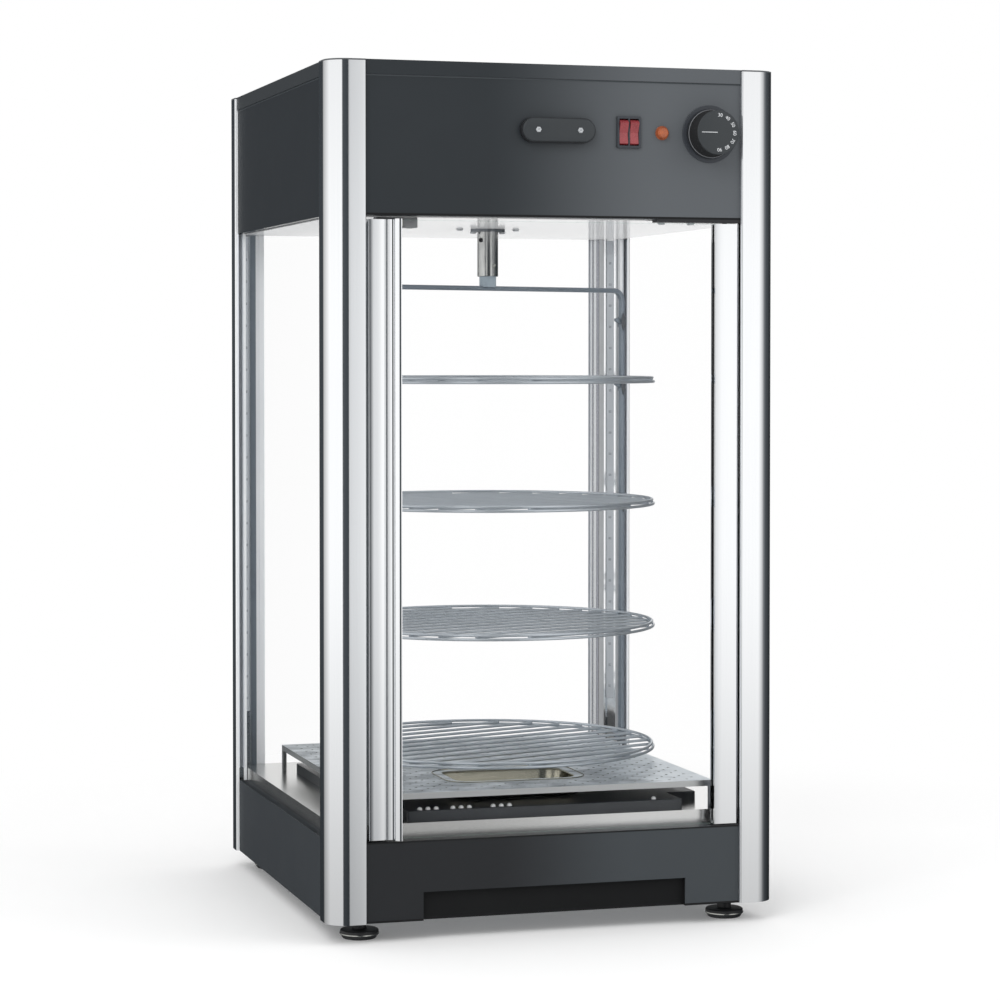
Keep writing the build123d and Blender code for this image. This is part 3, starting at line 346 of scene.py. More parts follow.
# Coats and plastics: light and dark tone, roughness, fineness and depth of the skin, metal share
for row in (
    # The next pale coat stands in for the lit anodised faces of the rear posts: painted light.
    ("post_lining", (250, 251, 252), (240, 243, 246), 0.4),
    ("chrome_wire", (218, 224, 230), (188, 196, 203), 0.3, 900.0, 4e-6, 0.65),
    ("hanger_bar", (156, 166, 176), (108, 118, 128), 0.3, 900.0, 4e-6, 0.4),
    ("hanger_neck", (184, 198, 208), (168, 182, 192), 0.5, 1400.0, 2e-5, 0.2),
    ("screw_grey", (206, 209, 212), (150, 153, 157), 0.4, 500.0, 4e-5),
    ("stud_nickel", (246, 247, 248), (232, 234, 236), 0.3),
    ("dark_steel", (54, 57, 61), (38, 41, 45), 0.34, 600.0, 3e-5),
    ("black_steel", (42, 43, 46), (30, 31, 33), 0.4),
    ("plate_paint", (54, 58, 61), (48, 52, 55), 0.42),
    ("slate_plastic", (58, 62, 68), (50, 54, 60), 0.4),
    ("black_plastic", (46, 48, 51), (36, 38, 41), 0.38),
    ("matt_black", (36, 37, 39), (28, 29, 30), 0.7),
    ("cap_grey", (92, 95, 98), (76, 79, 82), 0.5),
    # This grey, on the knob's chamfer ring, is a painted highlight.
    ("chamfer_highlight", (112, 114, 118), (96, 98, 102), 0.3),
    ("catch_grey", (142, 144, 146), (86, 88, 90), 0.5, 500.0, 1e-4),
    ("glazing_gasket", (214, 219, 225), (196, 201, 208), 0.5),
    ("lamp_strip", (226, 230, 235), (206, 212, 218), 0.4),
    ("ivory_plastic", (224, 218, 196), (206, 198, 174), 0.45),
    ("print_white", (226, 228, 230), (206, 208, 212), 0.5),
    ("foot_rubber", (44, 45, 47), (30, 31, 33), 0.5, 700.0, 4e-5),
):
    coated(*row)
coated("side_paint", (62, 66, 70), (56, 60, 64), 0.5, gloss=0.06)
coated("pocket_black", (27, 28, 29), (21, 22, 23), 0.8, gloss=0.2)

# Panels, with painted light: their tone changes along the case's width, strips of painted shade lie
# along the folded edges of the sheet, and a strip of painted light lies along the lid seam
fold_shade = (16, 17, 19)
low_fold, lid_fold, base_fold = 2.2 * mm, 1.6 * mm, 1.5 * mm
header_painted_light = ((40, 45, 49), (88, 92, 96), (-0.08, 0.12))
header_shade_and_light = ((z_header, z_header + low_fold, fold_shade), (z_lid - lid_fold, z_lid, (66, 71, 75)))
base_fold_shade = ((base_low, base_low + low_fold, fold_shade), (base_high - base_fold, base_high, fold_shade))
side_seam_light = ((z_lid - lid_fold, z_lid, (70, 75, 79)),)
panel_paint("header_paint", *header_painted_light, header_shade_and_light)
panel_paint("lid_paint", *header_painted_light)
panel_paint("base_paint", (34, 36, 39), (61, 66, 70), (-0.07, 0.09), base_fold_shade)
panel_paint("charcoal_paint", (44, 48, 52), (40, 44, 48), light_falloff, side_seam_light, 0.06)

galvanised_sheet()
bench_top_steel()
lens("diode", (196, 202, 208), (176, 182, 188), (200, 204, 208), 0.02)
lens("red_lens", (158, 66, 70), (122, 46, 52), (170, 50, 54), 0.03)
lens("amber_lens", (196, 100, 48), (82, 36, 20), (190, 90, 40), 0.02)
clear_pane("clear_glass", 0.0, 1.0)
clear_pane("door_pane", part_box("door_glass")[0].z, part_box("door_glass")[1].z)


# Drawing in millimetres, in a piece's own frame

touch = 0.1
to_front = Matrix.Rotation(pi / 2, 4, "X")


def upright(x, y, z, turn=0.0):
    """A frame in the case's own directions, turned about the vertical."""
    return Matrix.Translation((x, y, z)) @ Matrix.Rotation(turn, 4, "Z")


def facing_front(x, y, z):
    """A frame whose Z points out of the front, with X to the right and Y up."""
    return Matrix.Translation((x, y, z)) @ to_front


def on_front(node, y=y_panel):
    """A frame that faces the front at the middle of a CAD node, on the header if not told where."""
    return facing_front(middle(node).x, y, middle(node).z)


def facing_rear(x, y, z):
    """A frame whose Z points out of the back."""
    return Matrix.Translation((x, y, z)) @ to_front.inverted()


def in_mm(place):
    """A place given in metres, for a drawing in millimetres."""
    return Matrix.Scale(1 / mm, 4) @ place @ Matrix.Scale(mm, 4)


def piece(name, bm, place, body, finishes, stands_for=(), crease=32):
    """Puts a drawn mesh in its place and on its body, with its finishes."""
    bmesh.ops.remove_doubles(bm, verts=bm.verts, dist=0.0005)
    bmesh.ops.recalc_face_normals(bm, faces=bm.faces)
    bmesh.ops.transform(bm, matrix=place @ Matrix.Scale(mm, 4), verts=bm.verts)
    mesh = bpy.data.meshes.new(name)
    bm.to_mesh(mesh)
    bm.free()
    mesh.shade_smooth()
    mesh.set_sharp_from_angle(angle=radians(crease))
    for finish in finishes:
        mesh.materials.append(looks[finish])
    made = bpy.data.objects.new(name, mesh)
    bpy.context.scene.collection.objects.link(made)
    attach(made, body)
    if stands_for:
        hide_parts(*stands_for)


def join(bm, part, place=None):
    """Adds a drawn part to a mesh, at a place of its own."""
    bmesh.ops.transform(part, matrix=place or Matrix(), verts=part.verts)
    mesh = bpy.data.meshes.new("part")
    part.to_mesh(mesh)
    part.free()
    bm.from_mesh(mesh)
    bpy.data.meshes.remove(mesh)


def oblong(half_x, half_y, radius=0.0, centre=(0, 0)):
    """The outline of an oblong, with round corners if it has a radius."""
    rounding = (radius,) if radius else ()
    corners = ((-1, -1), (1, -1), (1, 1), (-1, 1))
    return [(centre[0] + x * half_x, centre[1] + y * half_y, *rounding) for x, y in corners]


def mirrored(half):
    """A closed outline from its right half, with the left half drawn back to the start."""
    return [*half, *[(-point[0], *point[1:]) for point in reversed(half)]]


def arc(centre, radius, start, sweep, steps=6):
    """Points along a round stretch of an outline, with its angles in degrees."""
    turns = [radians(start + sweep * step / steps) for step in range(steps + 1)]
    return [(centre[0] + radius * cos(turn), centre[1] + radius * sin(turn)) for turn in turns]


def bevel(bm, parts, width, steps=2, affect="EDGES"):
    bmesh.ops.bevel(
        bm,
        geom=parts,
        offset=width,
        offset_type="OFFSET",
        segments=steps,
        profile=0.5,
        affect=affect,
        material=-1,
        clamp_overlap=affect == "EDGES",
    )


def soften(bm, width, steps=2, limit=40, keep=lambda edge: True):
    """Rounds the sharp edges."""
    sharp = [
        edge
        for edge in bm.edges
        if len(edge.link_faces) == 2 and edge.calc_face_angle() > radians(limit) and keep(edge)
    ]
    bevel(bm, sharp, width, steps)


def above(height):
    """A test for the edges that lie above a height."""
    return lambda edge: min(vert.co.z for vert in edge.verts) > height


def flat_face(bm, points, height=0.0, steps=8):
    """A face from its outline. A point is (x, y), or (x, y, radius) for a round corner."""
    before = set(bm.faces)
    spots = [Vector((point[0], point[1], height)) for point in points]
    verts = [bm.verts.new(spot) for spot in spots]
    bm.faces.new(verts)
    for index, point in enumerate(points):
        if len(point) == 3:
            back = spots[index - 1] - spots[index]
            ahead = spots[(index + 1) % len(spots)] - spots[index]
            bevel(bm, [verts[index]], point[2] / tan(back.angle(ahead) / 2), steps, "VERTICES")
    return next(face for face in bm.faces if face not in before)


def edges_at(verts):
    """The edges that meet at some vertices."""
    return list(dict.fromkeys(edge for vert in verts for edge in vert.link_edges))


def fill(bm, edges):
    """Flat faces inside an outline and outside the others that lie in it."""
    filled = bmesh.ops.triangle_fill(bm, edges=edges, use_beauty=True, normal=(0, 0, 1))["geom"]
    return [part for part in filled if isinstance(part, bmesh.types.BMFace)]


def raise_faces(bm, faces, height):
    """Pulls faces up into a solid."""
    pulled = bmesh.ops.extrude_face_region(bm, geom=faces)["geom"]
    verts = [part for part in pulled if isinstance(part, bmesh.types.BMVert)]
    bmesh.ops.translate(bm, verts=verts, vec=(0, 0, height))


def prism(bm, outlines, low, high, steps=8):
    """A bar whose section is the first outline, with the others as hollows through it."""
    faces = [flat_face(bm, outline, low, steps) for outline in outlines]
    if len(outlines) > 1:
        edges = [edge for face in faces for edge in face.edges]
        bmesh.ops.delete(bm, geom=faces, context="FACES_ONLY")
        faces = fill(bm, edges)
    raise_faces(bm, faces, high - low)


def perforated(bm, outlines, spots, radius, low, high):
    """A plate with the outlines after the first and small round holes cut out of it."""
    edges = []
    for outline in outlines:
        edges += list(flat_face(bm, outline, low).edges)
    bmesh.ops.delete(bm, geom=bm.faces[:], context="FACES_ONLY")
    for x, y in spots:
        spot = Matrix.Translation((x, y, low))
        edges += edges_at(bmesh.ops.create_circle(bm, segments=8, radius=radius, matrix=spot)["verts"])
    raise_faces(bm, fill(bm, edges), high - low)


def line(bm, points):
    """Vertices along a line, and the edges between them."""
    verts = [bm.verts.new(point) for point in points]
    return verts, [bm.edges.new(pair) for pair in zip(verts, verts[1:])]


def spin_round(bm, verts, edges, steps, centre=(0, 0)):
    """Turns a line right round an upright axis."""
    bmesh.ops.spin(
        bm,
        geom=verts + edges,
        cent=(*centre, 0),
        axis=(0, 0, 1),
        angle=2 * pi,
        steps=steps,
        use_merge=True,
    )


def lathe(bm, profile, steps=64, centre=(0, 0)):
    """Turns a line of (radius, height) points round an upright axis."""
    x, y = centre
    verts, edges = line(bm, [(x + radius, y, height) for radius, height in profile])
    spin_round(bm, verts, edges, steps, centre)


def wire_ring(bm, radius, wire, height, steps=120, sides=10):
    """A ring of round wire."""
    section = Matrix.Translation((radius, 0, height)) @ to_front
    verts = bmesh.ops.create_circle(bm, segments=sides, radius=wire, matrix=section)["verts"]
    spin_round(bm, verts, edges_at(verts), steps)


def rod(bm, place, radius, length, sides=10):
    """A bar whose middle is at the frame's origin, along its Z."""
    bmesh.ops.create_cone(
        bm,
        cap_ends=True,
        segments=sides,
        radius1=radius,
        radius2=radius,
        depth=length,
        matrix=place,
    )


def block(bm, low, high):
    """A box between two corners."""
    low, high = Vector(low), Vector(high)
    place = Matrix.Translation((low + high) / 2) @ Matrix.Diagonal((*(high - low), 1))
    bmesh.ops.create_cube(bm, size=1.0, matrix=place)


def paint_faces(bm, number, test):
    """Gives the faces that pass the test the finish of that number."""
    for face in bm.faces:
        if test(face):
            face.material_index = number


def paint_new(bm, number, before):
    """Gives the faces drawn since a set of faces was noted the finish of that number."""
    paint_faces(bm, number, lambda face: face not in before)


# Posts, with the linings of their slots, and their caps

root_two = 2**0.5
leg_width, leg_depth = 38.0, 12.0
leg_end_radius, corner_radius = 1.2, 21.0
post_wall = 2.0
slot_low, slot_high, slot_floor = 3.5, 8.5, 28.0
outer_groove, inner_groove = (35.3, 37.4), (28.5, 32.2)
groove_floor = leg_depth - 0.7
lamp_face = 15.0 / root_two
diagonal = leg_depth + lamp_face / 2
channel_depth = 2.5
channel_half = 5.3 / root_two
channel_step = channel_depth / root_two
gasket_sheet, gasket_lip = 0.45, 0.8
# After the first, the post finishes are lit and shaded copies of the anodised aluminium: painted light
# and shade.
post_finishes = ["anodised_post", "post_rib", "post_groove", "post_step", "post_end", "post_lining"]
post_places = {
    "front_left": upright(x_left, y_front, 0, 0),
    "front_right": upright(x_right, y_front, 0, pi / 2),
    "rear_right": upright(x_right, y_rear, 0, pi),
    "rear_left": upright(x_left, y_rear, 0, -pi / 2),
}


def both_legs(corner, leg):
    """A closed outline with two like legs, from its corner and one leg."""
    return [corner, *leg, *[(point[1], point[0], *point[2:]) for point in reversed(leg)]]


def cap_outline():
    """The section of a cap, with its outer corner at the origin."""
    end = [(leg_width, 0, leg_end_radius), (leg_width, leg_depth)]
    return both_legs((0, 0, corner_radius), [*end, (leg_depth + lamp_face, leg_depth)])


def post_outline():
    """The section of a post: a cap's, with slots for the panes, grooves and a lamp channel."""
    near, far = diagonal - channel_half, diagonal + channel_half
    leg = [(leg_width, 0, leg_end_radius), (leg_width, slot_low), (slot_floor, slot_low)]
    leg += [(slot_floor, slot_high), (leg_width, slot_high), (leg_width, leg_depth)]
    for low, high in (outer_groove, inner_groove):
        leg += [(high, leg_depth), (high, groove_floor), (low, groove_floor), (low, leg_depth)]
    leg += [(leg_depth + lamp_face, leg_depth), (far, near), (far - channel_step, near - channel_step)]
    return both_legs((0, 0, corner_radius), leg)


def post_hollow():
    end = slot_floor - post_wall
    inner = leg_depth - post_wall
    channel_side = 2 * diagonal - (channel_depth + post_wall) * root_two - inner
    leg = [(end, post_wall), (end, inner), (channel_side, inner)]
    return both_legs((post_wall, post_wall, corner_radius - post_wall), leg)


def post_face_finish(spot, rear):
    """The finish of one face of a post, from the place of its middle. Apart from the plain anodised
    finish, these are lit and shaded copies of it: painted light and shade.
    """
    near, far = sorted((spot.x, spot.y))
    if far > leg_width - touch:
        return "post_lining" if rear else "post_end"
    if not (near > groove_floor - touch and far > leg_depth + lamp_face):
        return "anodised_post"
    if rear and spot.y > inner_groove[0]:
        return "post_lining"
    if near < leg_depth - touch:
        return "post_groove"
    return "post_step" if far < inner_groove[0] else "post_rib"


def make_posts():
    for corner, place in post_places.items():
        bm = bmesh.new()
        prism(bm, [post_outline(), post_hollow()], z_post / mm, z_cap / mm, 20)
        for face in bm.faces:
            finish = post_face_finish(face.calc_center_median(), "rear" in corner)
            face.material_index = post_finishes.index(finish)
        node = f"post_{corner}"
        piece(f"extrusion_{corner}", bm, place, "cabinet", post_finishes, [node])


def make_gaskets():
    """A lining in each slot that holds a pane."""
    floor, lip = slot_floor + gasket_sheet, leg_width + gasket_lip
    low_side, high_side = slot_low + gasket_sheet, slot_high - gasket_sheet
    lining = [(slot_floor, slot_low), (lip, slot_low), (lip, low_side), (floor, low_side)]
    lining += [(floor, high_side), (lip, high_side), (lip, slot_high), (slot_floor, slot_high)]
    swapped = [(y, x) for x, y in lining]
    linings = {"front_left": [swapped], "front_right": [lining]}
    for corner, place in post_places.items():
        bm = bmesh.new()
        for outline in linings.get(corner, [lining, swapped]):
            prism(bm, [outline], z_deck / mm, z_ceiling / mm)
        piece(f"gasket_{corner}", bm, place, "cabinet", ["glazing_gasket"])


def make_caps():
    bm = bmesh.new()
    for place in post_places.values():
        part = bmesh.new()
        prism(part, [cap_outline()], z_cap / mm, z_top / mm, 20)
        soften(part, 0.35)
        join(bm, part, in_mm(place))
    piece("corner_caps", bm, Matrix(), "cabinet", ["cap_grey"], ["post_caps"])


# Levelling feet: a rubber cup with a zinc band, on a threaded stem

band_low, band_high = 4.2, 5.6
stem_base = 14.0
thread_radius, thread_root, thread_pitch = 4.0, 3.4, 1.25
thread_steps = 20
ridge = ((thread_root, 0), (thread_radius, thread_pitch / 2), (thread_root, thread_pitch))
foot_profile = [(0, 0), (15.2, 0), *arc((15.5, 1.4), 1.4, -90, 70, 4), (19.1, band_low), (19.5, 4.4)]
foot_profile += [(19.5, 5.4), (19.1, band_high), *arc((17.4, 7.2), 1.6, 0, 90, 5), (7.6, 9.0)]
foot_profile += [(7.0, 9.6), (7.0, 13.4), (6.4, stem_base), (0, stem_base)]


def make_feet():
    for corner in ("front_left", "rear_left", "front_right", "rear_right"):
        node = f"foot_{corner}"
        bm = bmesh.new()
        lathe(bm, foot_profile, 56)
        paint_faces(bm, 1, lambda face: band_low < face.calc_center_median().z < band_high)
        turns = int((size(node).z - stem_base) / thread_pitch) - 1
        before = set(bm.faces)
        verts, edges = line(bm, [(radius, 0, stem_base + height) for radius, height in ridge])
        bmesh.ops.spin(
            bm,
            geom=verts + edges,
            cent=(0, 0, 0),
            axis=(0, 0, 1),
            dvec=(0, 0, thread_pitch / thread_steps),
            angle=2 * pi * turns,
            steps=thread_steps * turns,
        )
        paint_new(bm, 1, before)
        place = upright(middle(node).x, middle(node).y, 0)
        finishes = ["foot_rubber", "zinc_plate"]
        piece(f"levelling_{node}", bm, place, node, finishes, [node])


# Heated floor: perforated bench, water pan and heater cover

sheet = 1.2
bench_band, bench_leg, bench_bend = 6.0, 5.0, 1.5
hole_pitch_x, hole_pitch_y = 18.5, 23.0
hole_radius = 1.7
pan_opening = (63.5, 38.5, 15.5)
pan_outer_corner = 25.0
pan_rim, pan_lip = 10.0, 1.0
pan_clearance = 0.1
pan_sheet = 0.8
pan_draft = radians(8)
nose_half, nose_depth, nose_round = 143.5, 46.0, 2.0
stud_clusters = (-121.0, -87.0, -45.5)
stud_pitch = 8.4
lone_stud = 115.0
stud_radius, stud_rise = 2.6, 0.2
stud_inset = 7.0


def bench_holes(width, depth, pan_spot):
    """The middles of the holes, in staggered rows that leave the pan and its rim free."""
    clear_x, clear_y = [reach / 2 + 2 * hole_radius for reach in size("water_pan").xy]
    columns = int(width / hole_pitch_x) - 1
    rows = int(2 * depth / hole_pitch_y) - 1
    spots = []
    for row in range(rows):
        y = (row - (rows - 1) / 2) * hole_pitch_y / 2
        for column in range(columns + row % 2):
            x = (column - (columns - 1 + row % 2) / 2) * hole_pitch_x
            if abs(x - pan_spot.x) > clear_x or abs(y - pan_spot.y) > clear_y:
                spots.append((x, y))
    return spots


def make_bench():
    spot = middle("heat_bench")
    width, depth, height = size("heat_bench")
    pan_spot = (middle("water_pan") - spot) / mm
    half_x, half_y = width / 2, depth / 2
    under = height - sheet
    outlines = [oblong(half_x, half_y), oblong(*pan_opening, pan_spot)]
    bm = bmesh.new()
    perforated(bm, outlines, bench_holes(width, depth, pan_spot), hole_radius, under, height)
    paint_faces(bm, 1, lambda face: face.calc_center_median().z > height - sheet / 2)
    for turn, half, reach in ((0, half_x, half_y), (-pi / 2, half_y - sheet, half_x)):
        leg = half - bench_leg
        side = mirrored([(half, under), (half, 0), (leg, 0), (leg, height - bench_band, bench_bend)])
        for edge in (sheet - reach, reach):
            part = bmesh.new()
            prism(part, [side], 0, sheet)
            swing = Matrix.Rotation(turn, 4, "Z") @ Matrix.Translation((0, edge, 0)) @ to_front
            join(bm, part, swing)
    place = upright(spot.x, spot.y, z_deck)
    finishes = ["bench_steel", "bench_top"]
    piece("bench", bm, place, "cabinet", finishes, ["heat_bench"])


def make_water_pan():
    spot = middle("water_pan")
    length, breadth, height = size("water_pan")
    half_x, half_y = length / 2, breadth / 2
    bowl = height - pan_lip
    bm = bmesh.new()
    face = flat_face(bm, oblong(half_x, half_y, pan_outer_corner), pan_lip - pan_clearance, 10)
    bmesh.ops.inset_region(bm, faces=[face], thickness=pan_rim, use_even_offset=True)
    well = bmesh.ops.extrude_discrete_faces(bm, faces=[face])["faces"][0]
    bmesh.ops.translate(bm, verts=well.verts, vec=(0, 0, -bowl))
    draft = tan(pan_draft) * bowl
    inner_x, inner_y = half_x - pan_rim, half_y - pan_rim
    shrink = ((inner_x - draft) / inner_x, (inner_y - draft) / inner_y, 1)
    bmesh.ops.scale(bm, vec=shrink, verts=well.verts)
    bevel(bm, list(well.edges), 4.0, 4)
    soften(bm, 0.8, 2, 50)
    bmesh.ops.recalc_face_normals(bm, faces=bm.faces)
    if max(bm.faces, key=lambda part: part.calc_area()).normal.z < 0:
        bmesh.ops.reverse_faces(bm, faces=bm.faces)
    bmesh.ops.solidify(bm, geom=bm.faces[:], thickness=pan_sheet)
    place = upright(spot.x, spot.y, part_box("water_pan")[1].z - pan_lip * mm)
    piece("pan", bm, place, "pan", ["pan_steel"], ["water_pan"])


def make_baffle():
    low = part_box("heat_baffle")[0]
    width, depth, height = size("heat_baffle")
    half = width / 2
    nose = [(nose_half, 0, nose_round), (nose_half, nose_depth)]
    bm = bmesh.new()
    prism(bm, [mirrored([*nose, (half, nose_depth), (half, depth)])], 0, height)
    bottom = [face for face in bm.faces if face.calc_center_median().z < touch]
    bmesh.ops.delete(bm, geom=bottom, context="FACES_ONLY")
    soften(bm, 1.0)
    bmesh.ops.recalc_face_normals(bm, faces=bm.faces)
    bmesh.ops.solidify(bm, geom=bm.faces[:], thickness=sheet)
    place = upright(0, low.y, low.z)
    piece("heater_cover", bm, place, "cabinet", ["dark_steel"], ["heat_baffle"])
    studs = bmesh.new()
    spots = [cluster + step * stud_pitch for cluster in stud_clusters for step in (-1, 0, 1)]
    dome = [(0, height), (stud_radius, height)]
    dome += arc((0, height + stud_rise), stud_radius, 5, 85, 5)
    for x in (*spots, lone_stud):
        lathe(studs, dome, 16, (x, stud_inset))
    piece("cover_studs", studs, place, "cabinet", ["stud_nickel"], [], 60)


# Lamp strips in the rear posts: their parts as back, front and half width

strip_bar = (-2.5, -0.9, 5.0)
strip_diode = (-1.0, -0.5, 1.6)
strip_plug = (-1.0, -0.3, 3.6)
strip_end_gap = 1.0
plug_low, plug_high = 16.0, 2.0
diode_half, diode_dome = 1.4, 1.1
diode_pitch, diode_start = 24.5, 0.6
flat_dome = Matrix.Diagonal((0.4, 1, 1, 1))


def strip_block(bm, part, low, high):
    back, front, half = part
    block(bm, (back, -half, low), (front, half, high))


def make_lamp_strips():
    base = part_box("lamp_strips")[0].z
    length = (z_ceiling - base) / mm - strip_end_gap
    swing = Matrix.Translation((diagonal * mm, diagonal * mm, base)) @ Matrix.Rotation(pi / 4, 4, "Z")
    finishes = ["lamp_strip", "diode", "glazing_gasket"]
    for corner, stands_for in (("rear_left", ["lamp_strips"]), ("rear_right", [])):
        bm = bmesh.new()
        strip_block(bm, strip_bar, 0, length)
        soften(bm, 0.2, 1)
        before = set(bm.faces)
        for number in range(int(length / diode_pitch)):
            height = (number + diode_start) * diode_pitch
            strip_block(bm, strip_diode, height - diode_half, height + diode_half)
            dome = Matrix.Translation((strip_diode[1], 0, height)) @ flat_dome
            bmesh.ops.create_uvsphere(bm, u_segments=10, v_segments=6, radius=diode_dome, matrix=dome)
        paint_new(bm, 1, before)
        before = set(bm.faces)
        strip_block(bm, strip_plug, length - plug_low, length - plug_high)
        paint_new(bm, 2, before)
        place = post_places[corner] @ swing
        piece(f"lamp_strip_{corner}", bm, place, "cabinet", finishes, stands_for)


# Revolving rack: shelves, hanger, drive and bearing

shelf_wire, shelf_pitch, shelf_bars = 1.5, 27.0, 6
rim_rise = 2.0
hanger_inner, hanger_sheet, hanger_width = 177.8, 5.0, 6.0
hanger_bend = 14.0
hanger_drop = 10.0
hook_root, hook_reach, hook_height = 0.5, 7.0, 7.0
hook_sheet, hook_tip = 3.0, 0.8
spare_hook_rise = 70.0
seat_gap = 0.3
clip_outline = ((0, -10), (2.6, -4), (2.6, 4), (0, 10), (-2.6, 4), (-2.6, -4))
clip_drop = 4.0
clip_sheet, clip_sink = 0.8, 0.01
neck_radius, neck_low, neck_high = 8.9, -1.0, 46.0
tube_radius, tube_bore, tube_edge = 11.0, 9.0, 0.4
tube_rise, tube_plug = 11.2, 8.0
spindle_radius = 5.0
pin_radius, pin_length = 2.0, 25.0
set_screw_height, set_screw_seat = 0.6924, 0.0106
set_screw_turn = radians(-57)
set_screw = [(0, 0), (2.4, 0), (2.4, 1.2), (1.8, 1.6), (1.2, 1.6), (1.2, 0.6), (0, 0.6)]
bearing_bore = 11.05
collar_radius, collar_top = 13.0, 6.2
flange_sheet = 3.0
flange_outline = [(-22, 0, 4.5), (0, -15, 10), (22, 0, 4.5), (0, 15, 10)]


def make_shelves():
    for number in range(1, 5):
        node = f"shelf_{number}"
        rim = size(node).x / 2 - shelf_wire
        inner_rim = rim - shelf_wire
        bm = bmesh.new()
        wire_ring(bm, rim, shelf_wire, -rim_rise)
        wire_ring(bm, inner_rim, shelf_wire, rim_rise)
        for bar in range(-shelf_bars, shelf_bars + 1):
            offset = bar * shelf_pitch
            half = (inner_rim**2 - offset**2) ** 0.5
            place = Matrix.Translation((0, offset, 0)) @ Matrix.Rotation(pi / 2, 4, "Y")
            rod(bm, place, shelf_wire, 2 * half)
        place = upright(*middle(node), rack_turn)
        piece(f"wire_{node}", bm, place, node, ["chrome_wire"], [node], 50)


def make_hanger():
    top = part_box("drive_tube")[0].z / mm - hanger_drop
    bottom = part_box("rack_hanger")[0].z / mm
    outer = hanger_inner + hanger_sheet
    half_width = hanger_width / 2
    half = [(outer, top, hanger_bend), (outer, bottom), (hanger_inner, bottom)]
    half += [(hanger_inner, top - hanger_sheet, hanger_bend - hanger_sheet)]
    bar = bmesh.new()
    prism(bar, [mirrored(half)], -half_width, half_width, 10)
    soften(bar, 0.5, 2, 60)
    seats = [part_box(f"shelf_{number}")[0].z / mm - seat_gap for number in range(1, 5)]
    seats.append(max(seats) + spare_hook_rise)
    clips = bmesh.new()
    for seat in seats:
        for side in (-1, 1):
            root, tip = side * (hanger_inner + hook_root), side * (hanger_inner - hook_reach)
            hook = [(root, seat), (tip, seat, hook_tip), (tip, seat - hook_sheet, hook_tip)]
            part = bmesh.new()
            prism(part, [[*hook, (root, seat - hook_height)]], -hook_sheet / 2, hook_sheet / 2)
            soften(part, 0.3, 1, 60)
            join(bar, part)
            x, height = side * (outer - hanger_sheet / 2), seat - clip_drop
            clip = [(x + along, height + up) for along, up in clip_outline]
            for low in (half_width - clip_sink, -half_width - clip_sheet):
                prism(clips, [clip], low, low + clip_sheet + clip_sink)
    swing = Matrix.Rotation(rack_turn, 4, "Z") @ to_front
    low, high = top + neck_low, top + neck_high
    bm = bmesh.new()
    join(bm, bar, swing)
    before = set(bm.faces)
    lathe(bm, [(0, low), (neck_radius, low), (neck_radius, high), (0, high)], 40)
    paint_new(bm, 1, before)
    place = upright(0, y_mid, 0)
    finishes = ["hanger_bar", "hanger_neck"]
    piece("hanger", bm, place, "rack", finishes, ["rack_hanger"])
    piece("hanger_clips", clips, place @ swing, "rack", ["dark_zinc"])


def make_drive():
    low, high = [corner.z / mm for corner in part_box("drive_tube")]
    top = z_ceiling / mm + tube_rise
    profile = [(tube_bore, top - tube_plug), (tube_bore, low + 0.5), (tube_bore + tube_edge, low)]
    profile += [(tube_radius - tube_edge, low), (tube_radius, low + tube_edge), (tube_radius, top)]
    profile += [(spindle_radius, top), (spindle_radius, high), (0, high)]
    bm = bmesh.new()
    lathe(bm, profile, 56)
    place = upright(0, y_mid, 0)
    piece("rack_tube", bm, place, "rack", ["tube_steel"], ["drive_tube"])
    bm = bmesh.new()
    rod(bm, to_front, pin_radius, pin_length, 24)
    soften(bm, 0.5)
    place = upright(*middle("rack_pin"), rack_turn)
    piece("hanger_pin", bm, place, "rack", ["zinc_plate"], ["rack_pin"])
    bm = bmesh.new()
    lathe(bm, set_screw, 20)
    place = upright(0, y_mid, set_screw_height, set_screw_turn)
    place = place @ to_front @ Matrix.Translation((0, 0, set_screw_seat))
    piece("tube_set_screw", bm, place, "rack", ["black_steel"])


def make_bearing():
    """The bearing: a diamond flange with two ears under the ceiling, and a collar above it."""
    bm = bmesh.new()
    bore = arc((0, 0), bearing_bore, 0, 360, 48)[:-1]
    prism(bm, [flange_outline, bore], 0, flange_sheet)
    collar = [(bearing_bore, flange_sheet), (collar_radius, flange_sheet)]
    collar += [(collar_radius, collar_top), (bearing_bore, collar_top)]
    lathe(bm, collar + collar[:1], 48)
    place = upright(0, y_mid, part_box("shaft_bearing")[0].z)
    piece("tube_bearing", bm, place, "cabinet", ["dark_zinc"], ["shaft_bearing"])


# Screws: flanged hexagon heads with a recess, their seats at height 0

screw_head = [(0, 0.9), (1.1, 0.9), (1.1, 1.7), (2.0, 2.0), (2.5, 1.6), (2.5, 0.7), (2.9, 0.5), (2.9, 0)]
shank_radius, short_shank, long_shank = 1.5, 4.0, 11.0
to_ceiling = Matrix.Rotation(pi, 4, "X")
wide_head = Matrix.Diagonal((1.35, 1.35, 1, 1))
large_head = Matrix.Diagonal((1.5, 1.5, 1, 1))
ceiling_screws = ((-31, 0), (31, 0), (-16, -flange_sheet), (16, -flange_sheet))
hinge_screws = (8.0, 39.0)
hinge_screw_back = 3.8
hinge_sheet = 3.0
blank_screws = (-21.5, 21.5)


